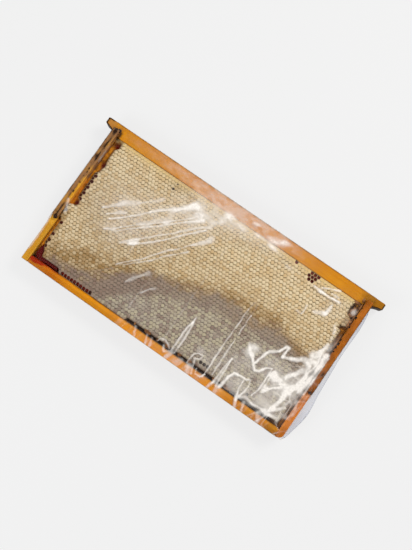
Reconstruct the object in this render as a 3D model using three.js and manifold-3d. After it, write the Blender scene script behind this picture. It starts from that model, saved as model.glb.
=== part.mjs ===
// A wooden hive frame full of capped honeycomb, wrapped in clear film.
// It lies on its back: +X runs along the top bar, +Y towards it and +Z out of the front.
// The origin is under the middle of the whole, on the surface that the frame lies on.
// A drop is a distance below the top edge of the top bar, measured along -Y.

import * as THREE from 'three';
import { mergeVertices } from 'three/addons/utils/BufferGeometryUtils.js';
import Module from 'manifold-3d';

const wasm = await Module();
wasm.setup();

// Driving dimensions, in millimetres.
const FRAME_WIDTH = 435; // over the two side bars
const FRAME_HEIGHT = 233; // from the top bar's top edge to the foot of the side bars
const BAR_DEPTH = 25; // top bar, bottom bar and the lower part of the side bars
const TOP_BAR_HEIGHT = 18.5;
const BOTTOM_BAR_HEIGHT = 11.5;
const SIDE_BAR_THICKNESS = 9.5;
const SHOULDER_DEPTH = 37; // spacing shoulders of the side bars
const SHOULDER_TOP = 9; // drop at which the prongs beside the top bar end
const SHOULDER_FOOT = 157; // drop at which the shoulders start to narrow
const SHOULDER_TAPER = 5;
const LUG_LENGTH = 15.5; // from a side bar's outer face to the tip
const LUG_TIP_HEIGHT = 9.7;
const LUG_ROOT_HEIGHT = 14;
const WORN_CORNER = 7.5; // radius of the worn lower right corner
const EASED_EDGE = 0.5; // flat on every arris of the wood
const CLEARANCE = 0.3; // between pieces that touch
const FILM_WALL = 0.6;
const FILM_SHOULDER = 8.4; // drop at which the film reaches its full depth
const FILM_FOOT = 212; // drop at which the film starts to slope in again
const FIN_THICKNESS = 1;
const FIN_TOP = 20; // drops between which the spare film stands out on the right
const FIN_FOOT = 230;
const CELL_PITCH = 5.4; // across the flats of one cell, walls included
const CELL_WALL = 0.7;
const CELL_DEPTH = 9;
const COMB_DEPTH = 35.6;
const COMB_FREE_EDGE = 19; // depth of the comb where its rim stands free
const COMB_ROUND = 8; // width of the rounding along the rim
const COMB_WAVE = 0.45; // height of the slow waves over each face
const POOL_TOP = 198; // drop at which the pooled honey starts
const POOL_END = -166; // how far it runs along the bottom bar
const POOL_DEPTH = 16;
const POOL_CLEARANCE = 1; // to the comb's rim, which is straight between its grid points
const COMB_COLUMNS = 52;
const COMB_ROWS = 22;

// Sizes that follow from them.
const MID_HEIGHT = SHOULDER_DEPTH / 2 + CLEARANCE + FILM_WALL;
const SIDE_OUTER = FRAME_WIDTH / 2;
const SIDE_INNER = SIDE_OUTER - SIDE_BAR_THICKNESS;
const LUG_TIP = SIDE_OUTER + LUG_LENGTH;
const INNER_END = SIDE_INNER - CLEARANCE; // half the length of what fits between the side bars
const COMB_TOP = TOP_BAR_HEIGHT + CLEARANCE;
const COMB_FOOT = FRAME_HEIGHT - BOTTOM_BAR_HEIGHT - CLEARANCE;
const ROW_PITCH = CELL_PITCH * Math.sqrt(3) / 2;

const yAt = (drop) => FRAME_HEIGHT / 2 - drop;

// ---- Small helpers ---------------------------------------------------------

// Rises from 0 to 1 with level ends as value goes from 0 to 1.
function smooth(value) {
  const v = Math.min(Math.max(value, 0), 1);
  return v * v * (3 - 2 * v);
}

// 1 between from and to, 0 outside, with a soft change of width fade at each end.
function band(value, from, to, fade) {
  return smooth((value - from) / fade + 0.5) * smooth((to - value) / fade + 0.5);
}

// A closed geometry as a solid that can be joined and cut.
function toSolid(geometry) {
  const bare = geometry.clone();
  bare.deleteAttribute('normal');
  bare.deleteAttribute('uv');
  const merged = mergeVertices(bare, 1e-4);
  return new wasm.Manifold(new wasm.Mesh({
    numProp: 3,
    vertProperties: new Float32Array(merged.attributes.position.array),
    triVerts: new Uint32Array(merged.index.array),
  }));
}

// A joined or cut solid as a geometry with flat faces.
function toGeometry(solid) {
  const mesh = solid.getMesh();
  const geometry = new THREE.BufferGeometry();
  geometry.setAttribute('position', new THREE.BufferAttribute(mesh.vertProperties, 3));
  geometry.setIndex(new THREE.BufferAttribute(mesh.triVerts, 1));
  const flat = geometry.toNonIndexed();
  flat.computeVertexNormals();
  return flat;
}

// A board: a closed outline of [a, b] points, thick along the third axis and centred on it.
function board(points, thickness, ease) {
  const outline = new THREE.Shape(points.map(([a, b]) => new THREE.Vector2(a, b)));
  const geometry = new THREE.ExtrudeGeometry(outline, {
    depth: thickness - 2 * ease,
    bevelEnabled: ease > 0,
    bevelThickness: ease,
    bevelSize: ease,
    bevelOffset: -ease,
    bevelSegments: 1,
    steps: 1,
  });
  return geometry.translate(0, 0, ease - thickness / 2);
}

// Stands a board drawn in Y and Z upright across X, with its middle at x.
function acrossX(geometry, x) {
  const turn = new THREE.Matrix4().makeBasis(
    new THREE.Vector3(0, 1, 0), new THREE.Vector3(0, 0, 1), new THREE.Vector3(1, 0, 0));
  return geometry.applyMatrix4(turn).translate(x, 0, 0);
}

function box(low, high) {
  const size = high.map((value, axis) => value - low[axis]);
  const middle = high.map((value, axis) => (value + low[axis]) / 2);
  return new THREE.BoxGeometry(...size).translate(...middle);
}

function material(color, roughness) {
  return new THREE.MeshStandardMaterial({ color, roughness, metalness: 0 });
}

function named(name, geometry, look) {
  const mesh = new THREE.Mesh(geometry, look);
  mesh.name = name;
  return mesh;
}

// ---- Wooden bars -----------------------------------------------------------

// The underside of one lug, from the tip to where it meets the side bar: flat
// under the tip, then falling on a smooth curve to the root.
function lugUnderside(side, steps = 6) {
  const points = [];
  for (let i = 0; i <= steps; i += 1) {
    const along = i / steps;
    const drop = LUG_TIP_HEIGHT + (LUG_ROOT_HEIGHT - LUG_TIP_HEIGHT) * smooth(along) ** 1.5;
    points.push([side * (LUG_TIP - along * LUG_LENGTH), yAt(drop)]);
  }
  return points;
}

// Half the outline of the top bar, from the top edge of one lug down to the
// lower corner of the beam between the side bars.
function topBarHalf(side) {
  return [
    [side * LUG_TIP, yAt(0)],
    ...lugUnderside(side),
    [side * INNER_END, yAt(LUG_ROOT_HEIGHT)],
    [side * INNER_END, yAt(TOP_BAR_HEIGHT)],
  ];
}

function topBar() {
  const outline = [...topBarHalf(-1), ...topBarHalf(1).reverse()];
  return board(outline, BAR_DEPTH, EASED_EDGE).translate(0, 0, MID_HEIGHT);
}

// A side bar, seen along X: broad shoulders above, a narrower leg below, and a
// slot between two prongs that takes the top bar's lug.
function sideBar(side) {
  const broad = SHOULDER_DEPTH / 2;
  const narrow = BAR_DEPTH / 2;
  const slot = narrow + CLEARANCE;
  const half = [
    [yAt(LUG_ROOT_HEIGHT + CLEARANCE), slot],
    [yAt(SHOULDER_TOP), slot],
    [yAt(SHOULDER_TOP), broad],
    [yAt(SHOULDER_FOOT), broad],
    [yAt(SHOULDER_FOOT + SHOULDER_TAPER), narrow],
    [yAt(FRAME_HEIGHT), narrow],
  ];
  const mirrored = half.map(([y, z]) => [y, -z]).reverse();
  const upright = board([...half, ...mirrored], SIDE_BAR_THICKNESS, EASED_EDGE);
  return acrossX(upright, side * (SIDE_OUTER - SIDE_BAR_THICKNESS / 2)).translate(0, 0, MID_HEIGHT);
}

// What wear has taken off the lower right corner: a square less a quarter disc.
function wornCorner(steps = 5) {
  const foot = yAt(FRAME_HEIGHT);
  const centre = [SIDE_OUTER - WORN_CORNER, foot + WORN_CORNER];
  const points = [[SIDE_OUTER + 1, foot - 1], [SIDE_OUTER + 1, centre[1]]];
  for (let i = 0; i <= steps; i += 1) {
    const angle = -(Math.PI / 2) * (i / steps);
    points.push([centre[0] + WORN_CORNER * Math.cos(angle), centre[1] + WORN_CORNER * Math.sin(angle)]);
  }
  points.push([centre[0], foot - 1]);
  return board(points, BAR_DEPTH + 2, 0).translate(0, 0, MID_HEIGHT);
}

function bottomBar() {
  const top = yAt(FRAME_HEIGHT - BOTTOM_BAR_HEIGHT);
  const foot = yAt(FRAME_HEIGHT);
  const outline = [[-INNER_END, foot], [INNER_END, foot], [INNER_END, top], [-INNER_END, top]];
  return board(outline, BAR_DEPTH, EASED_EDGE).translate(0, 0, MID_HEIGHT);
}

// ---- Comb ------------------------------------------------------------------

// Free space between the left side bar and the comb: a long open slit, a bridge
// of wax, a narrower slit below it, and a corner that widens towards the foot.
function leftGap(drop) {
  const slit = 8.2 * band(drop, 0, 131, 4) - 3 * band(drop, 75, 120, 3);
  const lowerSlit = 4.6 * band(drop, 153, 250, 6);
  const corner = 6 * smooth((drop - 198) / 14);
  return slit + lowerSlit + corner;
}

// Free space between the comb and the right side bar, widest at the hole under
// the top bar and shut by a web of wax below that hole.
function rightGap(drop) {
  const hole = 11 * band(drop, 0, 44, 5);
  const web = 3.5 * band(drop, 44, 58, 4);
  const slit = 7 * band(drop, 58, 250, 4);
  return hole + web + slit;
}

// Free space between the comb and the bottom bar: open in the left corner, shut
// along the left third, and open again to the right with two bridges of wax.
function footGap(x) {
  const leftCorner = 6 * band(x, -300, -164, 6);
  const slit = 5.5 * band(x, -48, 300, 5);
  const bridges = band(x, -20, -8, 6) + band(x, 52, 62, 6);
  return leftCorner + slit * (1 - bridges);
}

// The comb's four edges at a place, as distances inward from each.
function insets(x, drop) {
  return {
    left: x + INNER_END - leftGap(drop),
    right: INNER_END - rightGap(drop) - x,
    top: drop - COMB_TOP,
    foot: COMB_FOOT - footGap(x) - drop,
  };
}

// Half the depth of the comb at a place. It falls on a quarter ellipse to a
// rim: flush with the wood along the top bar, slimmer on the other three sides.
function halfDepth(x, drop) {
  const inset = insets(x, drop);
  const fall = (distance, rim) => {
    const s = Math.min(Math.max(1 - distance / COMB_ROUND, 0), 1);
    return (COMB_DEPTH - rim) / 2 * (1 - Math.sqrt(1 - s * s));
  };
  const waves = Math.sin(x / 31 + 0.7) * Math.cos(drop / 23) + Math.sin(x / 57 - drop / 41);
  return COMB_DEPTH / 2 - COMB_WAVE * (1 + waves / 2) - Math.max(
    fall(inset.left, COMB_FREE_EDGE),
    fall(inset.right, COMB_FREE_EDGE),
    fall(inset.top, BAR_DEPTH),
    fall(inset.foot, COMB_FREE_EDGE));
}

// Grid spacing from 0 to 1 that is much finer towards both ends.
const towardsEnds = (share) => share - 0.88 * Math.sin(2 * Math.PI * share) / (2 * Math.PI);

// The comb's front and back faces on one grid that follows its outline, joined
// along the rim.
function combBody() {
  const positions = [];
  for (const face of [1, -1]) {
    for (let row = 0; row <= COMB_ROWS; row += 1) {
      const level = COMB_TOP + towardsEnds(row / COMB_ROWS) * (COMB_FOOT - COMB_TOP);
      const low = -INNER_END + leftGap(level);
      const high = INNER_END - rightGap(level);
      for (let column = 0; column <= COMB_COLUMNS; column += 1) {
        const x = low + towardsEnds(column / COMB_COLUMNS) * (high - low);
        const foot = COMB_FOOT - footGap(x);
        const drop = COMB_TOP + (level - COMB_TOP) / (COMB_FOOT - COMB_TOP) * (foot - COMB_TOP);
        positions.push(x, yAt(drop), MID_HEIGHT + face * halfDepth(x, drop));
      }
    }
  }
  const stride = COMB_COLUMNS + 1;
  const layer = stride * (COMB_ROWS + 1);
  const indices = [];
  const quad = (a, b, c, d) => indices.push(a, b, c, a, c, d);
  for (let row = 0; row < COMB_ROWS; row += 1) {
    for (let column = 0; column < COMB_COLUMNS; column += 1) {
      const at = row * stride + column;
      quad(at, at + stride, at + stride + 1, at + 1);
      quad(layer + at, layer + at + 1, layer + at + stride + 1, layer + at + stride);
    }
  }
  const rim = [];
  for (let column = 0; column < COMB_COLUMNS; column += 1) {
    rim.push(column);
  }
  for (let row = 0; row < COMB_ROWS; row += 1) {
    rim.push(row * stride + COMB_COLUMNS);
  }
  for (let column = COMB_COLUMNS; column > 0; column -= 1) {
    rim.push(COMB_ROWS * stride + column);
  }
  for (let row = COMB_ROWS; row > 0; row -= 1) {
    rim.push(row * stride);
  }
  rim.forEach((at, i) => {
    const next = rim[(i + 1) % rim.length];
    quad(at, next, layer + next, layer + at);
  });
  const geometry = new THREE.BufferGeometry();
  geometry.setAttribute('position', new THREE.Float32BufferAttribute(positions, 3));
  geometry.setIndex(indices);
  return geometry;
}

// The space inside one open cell: a hexagonal prism sunk into the front face,
// with a corner pointing at the top bar.
function cellSpace(x, drop) {
  const radius = (CELL_PITCH - CELL_WALL) / Math.sqrt(3);
  const mouth = MID_HEIGHT + halfDepth(x, drop) + 2;
  const length = CELL_DEPTH + 2;
  const prism = new THREE.CylinderGeometry(radius, radius, length, 6);
  return prism.rotateX(Math.PI / 2).translate(x, yAt(drop), mouth - length / 2);
}

// Places of the uncapped cells: two short columns on the left, a row along the
// foot, a cluster under the top bar, and single cells low on the right.
function openCells() {
  const cells = [];
  for (let i = 0; i < 5; i += 1) {
    cells.push([-198.4, 79 + i * 2 * ROW_PITCH]);
  }
  for (let i = 0; i < 4; i += 1) {
    cells.push([-198.4, 162 + i * 2 * ROW_PITCH]);
  }
  for (let i = 0; i < 8; i += 1) {
    cells.push([-154 + i * CELL_PITCH, 215.5]);
  }
  for (let row = 0; row < 3; row += 1) {
    for (let i = 0; i < 3 - (row % 2); i += 1) {
      cells.push([126.5 + (i + (row % 2) / 2) * CELL_PITCH, 23 + row * ROW_PITCH]);
    }
  }
  for (let i = 0; i < 3; i += 1) {
    cells.push([68 + i * CELL_PITCH, 209.5]);
  }
  cells.push([191, 205], [147, 207.5]);
  return cells;
}

function comb() {
  const cuts = openCells().map(([x, drop]) => toSolid(cellSpace(x, drop)));
  const cut = cuts.reduce((solid, space) => solid.subtract(space), toSolid(combBody()));
  return toGeometry(cut);
}

// ---- Pooled honey ----------------------------------------------------------

// Honey that has run into the lower left corner, between the comb, the side bar
// and the bottom bar. Its outline follows the comb's rim at a small clearance.
function pooledHoney(steps = 8) {
  const combFoot = COMB_FOOT - footGap(-INNER_END);
  const levelOf = (drop) => COMB_TOP + (drop - COMB_TOP) * (COMB_FOOT - COMB_TOP) / (combFoot - COMB_TOP);
  const points = [];
  for (let i = 0; i <= steps; i += 1) {
    const drop = POOL_TOP + (combFoot - POOL_TOP) * (i / steps);
    points.push([-INNER_END + leftGap(levelOf(drop)) - POOL_CLEARANCE, yAt(drop)]);
  }
  const corner = -INNER_END + leftGap(COMB_FOOT) - POOL_CLEARANCE;
  for (let i = 0; i <= steps; i += 1) {
    const x = corner + (POOL_END - corner) * (i / steps);
    points.push([x, yAt(COMB_FOOT - footGap(x) + POOL_CLEARANCE)]);
  }
  points.push([POOL_END, yAt(COMB_FOOT)], [-INNER_END, yAt(COMB_FOOT)], [-INNER_END, yAt(POOL_TOP)]);
  return board(points, POOL_DEPTH, 0).translate(0, 0, MID_HEIGHT);
}

// ---- Film ------------------------------------------------------------------

// The wrapped bundle's section in Y and Z, inset on every side: two broad faces
// that slope in to the narrower top and bottom bars.
function filmSection(inset) {
  const full = SHOULDER_DEPTH / 2 + CLEARANCE + FILM_WALL - inset;
  const slim = BAR_DEPTH / 2 + CLEARANCE + FILM_WALL - inset;
  const reach = CLEARANCE + FILM_WALL - inset;
  const half = [
    [yAt(-reach), slim],
    [yAt(FILM_SHOULDER - reach), full],
    [yAt(FILM_FOOT + reach), full],
    [yAt(FRAME_HEIGHT + reach), slim],
  ];
  return [...half, ...half.map(([y, z]) => [y, -z]).reverse()];
}

function filmBlock(inset) {
  const width = FRAME_WIDTH + 2 * (CLEARANCE + FILM_WALL - inset);
  return acrossX(board(filmSection(inset), width, 0), 0).translate(0, 0, MID_HEIGHT);
}

// The opening in one end through which a lug comes out of the film.
function lugOpening(side) {
  const near = side * (SIDE_OUTER - 1);
  const far = side * (LUG_TIP + 1);
  const halfSlot = BAR_DEPTH / 2 + CLEARANCE;
  return box(
    [Math.min(near, far), yAt(LUG_ROOT_HEIGHT + 2 * CLEARANCE), MID_HEIGHT - halfSlot],
    [Math.max(near, far), yAt(-CLEARANCE), MID_HEIGHT + halfSlot]);
}

// How far the pressed flat spare film stands out on the right: a narrow wavy
// strip that swells above the foot and runs out at both ends.
function finReach(drop) {
  const along = (drop - FIN_TOP) / (FIN_FOOT - FIN_TOP);
  const ends = Math.max(Math.sin(Math.PI * along), 0) ** 0.25;
  const swell = 8 * Math.exp(-(((drop - 188) / 30) ** 2));
  return ends * (6.6 + Math.cos((drop - 40) / 16) + swell);
}

function fin(steps = 30) {
  const root = SIDE_OUTER + CLEARANCE;
  const points = [];
  for (let i = 0; i <= steps; i += 1) {
    const drop = FIN_TOP + (FIN_FOOT - FIN_TOP) * (i / steps);
    points.push([SIDE_OUTER + CLEARANCE + FILM_WALL + finReach(drop), yAt(drop)]);
  }
  points.push([root, yAt(FIN_FOOT)], [root, yAt(FIN_TOP)]);
  return board(points, FIN_THICKNESS, 0).translate(0, 0, MID_HEIGHT);
}

function filmWrap() {
  const shell = toSolid(filmBlock(0)).subtract(toSolid(filmBlock(FILM_WALL)));
  const opened = shell.subtract(toSolid(lugOpening(-1))).subtract(toSolid(lugOpening(1)));
  return toGeometry(opened.add(toSolid(fin())));
}

// ---- The whole frame -------------------------------------------------------

const topWood = material(0xc9862f, 0.5);
const sideWood = material(0x8a6038, 0.7);
const footWood = material(0xd08a1e, 0.45);
const wax = material(0xcdbb94, 0.6);
const honey = material(0x4a0a04, 0.15);
const film = material(0xf2f4f6, 0.1);
film.transparent = true;
film.opacity = 0.2;

const rightBar = toSolid(sideBar(1)).subtract(toSolid(wornCorner()));

const group = new THREE.Group();
group.add(
  named('top_bar', topBar(), topWood),
  named('side_bar_left', sideBar(-1), sideWood),
  named('side_bar_right', toGeometry(rightBar), sideWood),
  named('bottom_bar', bottomBar(), footWood),
  named('comb', comb(), wax),
  named('pooled_honey', pooledHoney(), honey),
  named('film_wrap', filmWrap(), film),
);

export default group;
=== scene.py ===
"""Looks of a capped honeycomb in its wooden hive frame, wrapped in clear film.

The pieces are surfaces worked out with numpy around the fixed model. Lengths in
the shape functions are in millimetres, and the frame's own axes are used: x runs
along the top bar, y towards it and z out of the front. A drop is a distance
below the top edge of the top bar.
"""
import math

import bpy
import numpy as np
from bpy.props import FloatProperty, FloatVectorProperty, PointerProperty
from mathutils import Matrix, Vector


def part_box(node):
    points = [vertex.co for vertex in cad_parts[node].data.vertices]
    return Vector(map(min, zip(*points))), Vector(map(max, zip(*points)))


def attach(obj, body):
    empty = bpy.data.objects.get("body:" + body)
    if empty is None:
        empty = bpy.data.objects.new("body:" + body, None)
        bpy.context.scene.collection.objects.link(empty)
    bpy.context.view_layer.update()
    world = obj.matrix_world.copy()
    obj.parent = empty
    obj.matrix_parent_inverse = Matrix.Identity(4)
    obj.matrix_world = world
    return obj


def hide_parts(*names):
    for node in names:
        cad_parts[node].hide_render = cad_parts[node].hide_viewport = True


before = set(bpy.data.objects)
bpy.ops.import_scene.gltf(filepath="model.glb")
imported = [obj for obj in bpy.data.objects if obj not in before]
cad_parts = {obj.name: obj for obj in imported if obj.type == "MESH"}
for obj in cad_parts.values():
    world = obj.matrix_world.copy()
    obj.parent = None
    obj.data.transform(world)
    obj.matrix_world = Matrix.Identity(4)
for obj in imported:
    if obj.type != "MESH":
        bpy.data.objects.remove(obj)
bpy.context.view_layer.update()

bl_info = {
    "name": "Honeycomb frame in film",
    "version": (1, 0, 0),
    "blender": (4, 5, 0),
    "location": "3D View > Sidebar > Honeycomb",
    "description": "Builds a capped honeycomb in its wooden frame, wrapped in clear film",
    "category": "Object",
}

MM = 0.001
BODY = "root"


def box_mm(node):
    """Lowest and highest corner of a frame node, in millimetres."""
    low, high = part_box(node)
    return np.array(low) / MM, np.array(high) / MM


TOP_LOW, TOP_HIGH = box_mm("top_bar")
FOOT_LOW, FOOT_HIGH = box_mm("bottom_bar")
LEFT_LOW, LEFT_HIGH = box_mm("side_bar_left")
RIGHT_LOW, RIGHT_HIGH = box_mm("side_bar_right")
COMB_LOW, COMB_HIGH = box_mm("comb")

TOP_EDGE = TOP_HIGH[1]
MID = (TOP_LOW[2] + TOP_HIGH[2]) / 2
HALF_BAR = (TOP_HIGH[2] - TOP_LOW[2]) / 2
HALF_SHOULDER = (LEFT_HIGH[2] - LEFT_LOW[2]) / 2
HALF_COMB = (COMB_HIGH[2] - COMB_LOW[2]) / 2
OUTER = RIGHT_HIGH[0]
INNER = RIGHT_LOW[0]
LUG_TIP = TOP_HIGH[0]
COMB_TOP = TOP_EDGE - COMB_HIGH[1]
COMB_FOOT = TOP_EDGE - FOOT_HIGH[1]
TOP_BAR_HEIGHT = TOP_EDGE - TOP_LOW[1]
HEIGHT = TOP_EDGE - FOOT_LOW[1]

CLEARANCE = 0.3
SHOULDER_TOP = 9.0
SHOULDER_FOOT = 157.0
SHOULDER_TAPER = 5.0
LUG_TIP_HEIGHT = 9.7
LUG_ROOT_HEIGHT = 14.0
WORN_CORNER = 7.5

# How a bar's end closes: the section's size on the way to the pole, then how much
# of the worn edge's radius is still missing at the next stations.
END_SCALE = np.array([0.02, 0.3, 0.6, 0.85])
END_EASE = np.array([1.0, 0.45, 0.1])
ARC_POINTS = 3


def linear(red, green, blue):
    """A display colour of 0 to 255 as the linear one that shaders take."""
    channels = np.array([red, green, blue]) / 255
    low = channels / 12.92
    high = ((channels + 0.055) / 1.055) ** 2.4
    return tuple(float(c) for c in np.where(channels <= 0.04045, low, high))


# ---- Shape functions -------------------------------------------------------


def stack(*parts):
    """Arrays side by side along a new last axis."""
    return np.stack(parts, axis=-1)


def rise(value):
    """0 below 0, 1 above 1, and a smooth climb with level ends between."""
    v = np.clip(value, 0, 1)
    return v * v * (3 - 2 * v)


def band(value, start, stop, fade):
    """1 between start and stop and 0 outside, changing smoothly over fade."""
    return rise((value - start) / fade + 0.5) * rise((stop - value) / fade + 0.5)


def bump(value, middle, width):
    """A bell of height 1 at middle."""
    return np.exp(-(((value - middle) / width) ** 2))


def scatter(cells, seed):
    """A fixed random number from 0 to 1 for each whole-numbered cell of a lattice."""
    mixed = (cells[..., 0] * 73856093) ^ (cells[..., 1] * 19349663) ^ (cells[..., 2] * 83492791)
    mixed = (mixed ^ (seed * 2654435761)) & 0xFFFFFFFF
    mixed = ((mixed ^ (mixed >> 15)) * 2246822519) & 0xFFFFFFFF
    mixed = ((mixed ^ (mixed >> 13)) * 3266489917) & 0xFFFFFFFF
    return ((mixed ^ (mixed >> 16)) & 0xFFFFFF) / 0xFFFFFF


def noise(places, size, seed, octaves=1):
    """Smooth random relief from -1 to 1: lattice values of the given size, blended
    between the eight corners around each place, with finer layers at half the
    size and height added to it."""
    total = 0.0
    weight = 0.0
    for layer in range(octaves):
        scaled = places / (np.asarray(size, float) / 2**layer)
        cell = np.floor(scaled).astype(np.int64)
        part = rise(scaled - cell)
        value = 0.0
        for corner in np.ndindex(2, 2, 2):
            step = np.array(corner)
            share = np.prod(np.where(step == 1, part, 1 - part), axis=-1)
            value = value + share * scatter(cell + step, seed + layer)
        total = total + (2 * value - 1) * 0.5**layer
        weight += 0.5**layer
    return total / weight


def drift(x, drop, wide, tall, seed, octaves=1):
    """Smooth random relief on the frame's plane that doesn't change through it."""
    return noise(stack(x, drop, np.zeros_like(x)), (wide, tall, 1), seed, octaves)


def crests(x, drop, wide, tall, seed):
    """Sharp random lines of height 1: the places where smooth relief crosses zero."""
    return (1 - np.abs(drift(x, drop, wide, tall, seed))) ** 8


def new_piece(name, shape, fields, replaced):
    """A mesh object from whole arrays: a shape's points in millimetres, its four-
    and three-cornered faces, and one number per point for each named field."""
    points, quads, triangles = shape
    mesh = bpy.data.meshes.new(name)
    loops = np.concatenate([np.ravel(quads), np.ravel(triangles)]).astype(np.int32)
    counts = np.concatenate([np.full(len(quads), 4), np.full(len(triangles), 3)])
    starts = np.concatenate([[0], np.cumsum(counts)[:-1]]).astype(np.int32)
    mesh.vertices.add(len(points))
    mesh.vertices.foreach_set("co", (np.asarray(points) * MM).astype(np.float32).ravel())
    mesh.loops.add(len(loops))
    mesh.loops.foreach_set("vertex_index", loops)
    mesh.polygons.add(len(counts))
    mesh.polygons.foreach_set("loop_start", starts)
    mesh.polygons.foreach_set("use_smooth", np.ones(len(counts), bool))
    mesh.update(calc_edges=True)
    for field, values in fields.items():
        layer = mesh.attributes.new(field, "FLOAT", "POINT")
        layer.data.foreach_set("value", np.asarray(values, np.float32).ravel())
    piece = bpy.data.objects.new(name, mesh)
    bpy.context.scene.collection.objects.link(piece)
    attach(piece, BODY)
    if replaced:
        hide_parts(*replaced)
    return piece


def tube_faces(stations, around):
    """Faces of closed rings carried along a path, each ring running
    counterclockwise about the path, with a pole point closing each end."""
    at = np.arange(stations * around).reshape(stations, around)
    turned = np.roll(at, -1, axis=1)
    quads = stack(at[:-1], turned[:-1], turned[1:], at[1:]).reshape(-1, 4)
    first = stations * around
    last = first + 1
    start = stack(np.full(around, first), turned[0], at[0])
    end = stack(np.full(around, last), at[-1], turned[-1])
    return quads, np.concatenate([start, end])


def closed_tube(places):
    """Rings of places as one closed shape, with poles in the middle of its ends."""
    poles = np.array([places[0].mean(0), places[-1].mean(0)])
    return (np.concatenate([places.reshape(-1, 3), poles]), *tube_faces(*places.shape[:2]))


def rectangle_section(across):
    """The outline of a rectangle with round corners, as core places from -1 to 1
    and outward directions: straight runs of points, then arcs between them."""
    along = np.linspace(-1, 1, across)
    arc = np.linspace(0, np.pi / 2, ARC_POINTS + 2)[1:-1]
    core = np.concatenate([stack(np.ones(across), along), np.ones((ARC_POINTS, 2))])
    away = np.concatenate([np.tile([1.0, 0.0], (across, 1)), stack(np.cos(arc), np.sin(arc))])
    turns = [np.array([[math.cos(a), math.sin(a)], [-math.sin(a), math.cos(a)]])
             for a in np.arange(4) * np.pi / 2]
    return tuple(np.concatenate([side @ turn for turn in turns]) for side in (core, away))


def bar(along, low, high, radius, across, order, relief):
    """A bar: a round-cornered rectangle carried along a straight line. low and
    high give its two limits across at each station. order says which axes the
    section and the line take, and relief moves each point along its outward
    direction. The ends shrink to a pole over a small round."""
    core, away = rectangle_section(across)
    extra = len(END_SCALE)
    pad = lambda values: np.concatenate([np.repeat(values[:1], extra, 0), values,
                                         np.repeat(values[-1:], extra, 0)])
    line, low, high = pad(along), pad(low), pad(high)
    scale = np.ones(len(line))
    scale[:extra] = END_SCALE
    scale[-extra:] = END_SCALE[::-1]
    ease = radius * np.concatenate([np.ones(extra), END_EASE])
    inset = np.zeros(len(line))
    inset[:len(ease)] = ease
    inset[-len(ease):] = ease[::-1]
    middle = (low + high) / 2
    half = ((high - low) / 2 - inset[:, None]) * scale[:, None]
    rounding = np.minimum(radius, half.min(axis=1) * 0.6)
    section = core[None] * (half - rounding[:, None])[:, None] + away[None] * rounding[:, None, None]
    places = np.empty((len(line), len(core), 3))
    outward = np.zeros_like(places)
    for axis, place in enumerate(order[:2]):
        places[..., place] = middle[:, None, axis] + section[..., axis]
        outward[..., place] = away[None, :, axis]
    places[..., order[2]] = line[:, None]
    return closed_tube(places + outward * relief(places)[..., None] * (scale[:, None] == 1)[..., None])


def join(parts):
    """Several point and face arrays as one set, with the face numbers moved on."""
    points, quads, triangles = [], [], []
    count = 0
    for part_points, part_quads, part_triangles in parts:
        points.append(part_points)
        quads.append(part_quads + count)
        triangles.append(part_triangles + count)
        count += len(part_points)
    return np.concatenate(points), np.concatenate(quads), np.concatenate(triangles)


# ---- Shader graphs ---------------------------------------------------------


def operator(operation, reflected=False):
    """A Python operator that adds a Math node for the operation."""
    def method(self, other):
        pair = (other, self) if reflected else (self, other)
        return self.graph.math(operation, *pair)
    return method


class Value:
    """A shader socket that Python's operators work on, adding Math nodes."""

    __add__ = operator("ADD")
    __radd__ = operator("ADD", reflected=True)
    __sub__ = operator("SUBTRACT")
    __rsub__ = operator("SUBTRACT", reflected=True)
    __mul__ = operator("MULTIPLY")
    __rmul__ = operator("MULTIPLY", reflected=True)
    __truediv__ = operator("DIVIDE")
    __pow__ = operator("POWER")

    def __init__(self, graph, socket):
        self.graph = graph
        self.socket = socket

    def clamped(self):
        """The value held between 0 and 1."""
        return self.graph.read("ShaderNodeClamp", "Result", {"Value": self})

    def between(self, start, stop):
        """A smooth climb from 0 at start to 1 at stop."""
        inputs = {"Value": self, "From Min": start, "From Max": stop}
        return self.graph.read("ShaderNodeMapRange", "Result", inputs, interpolation_type="SMOOTHSTEP")


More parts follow.
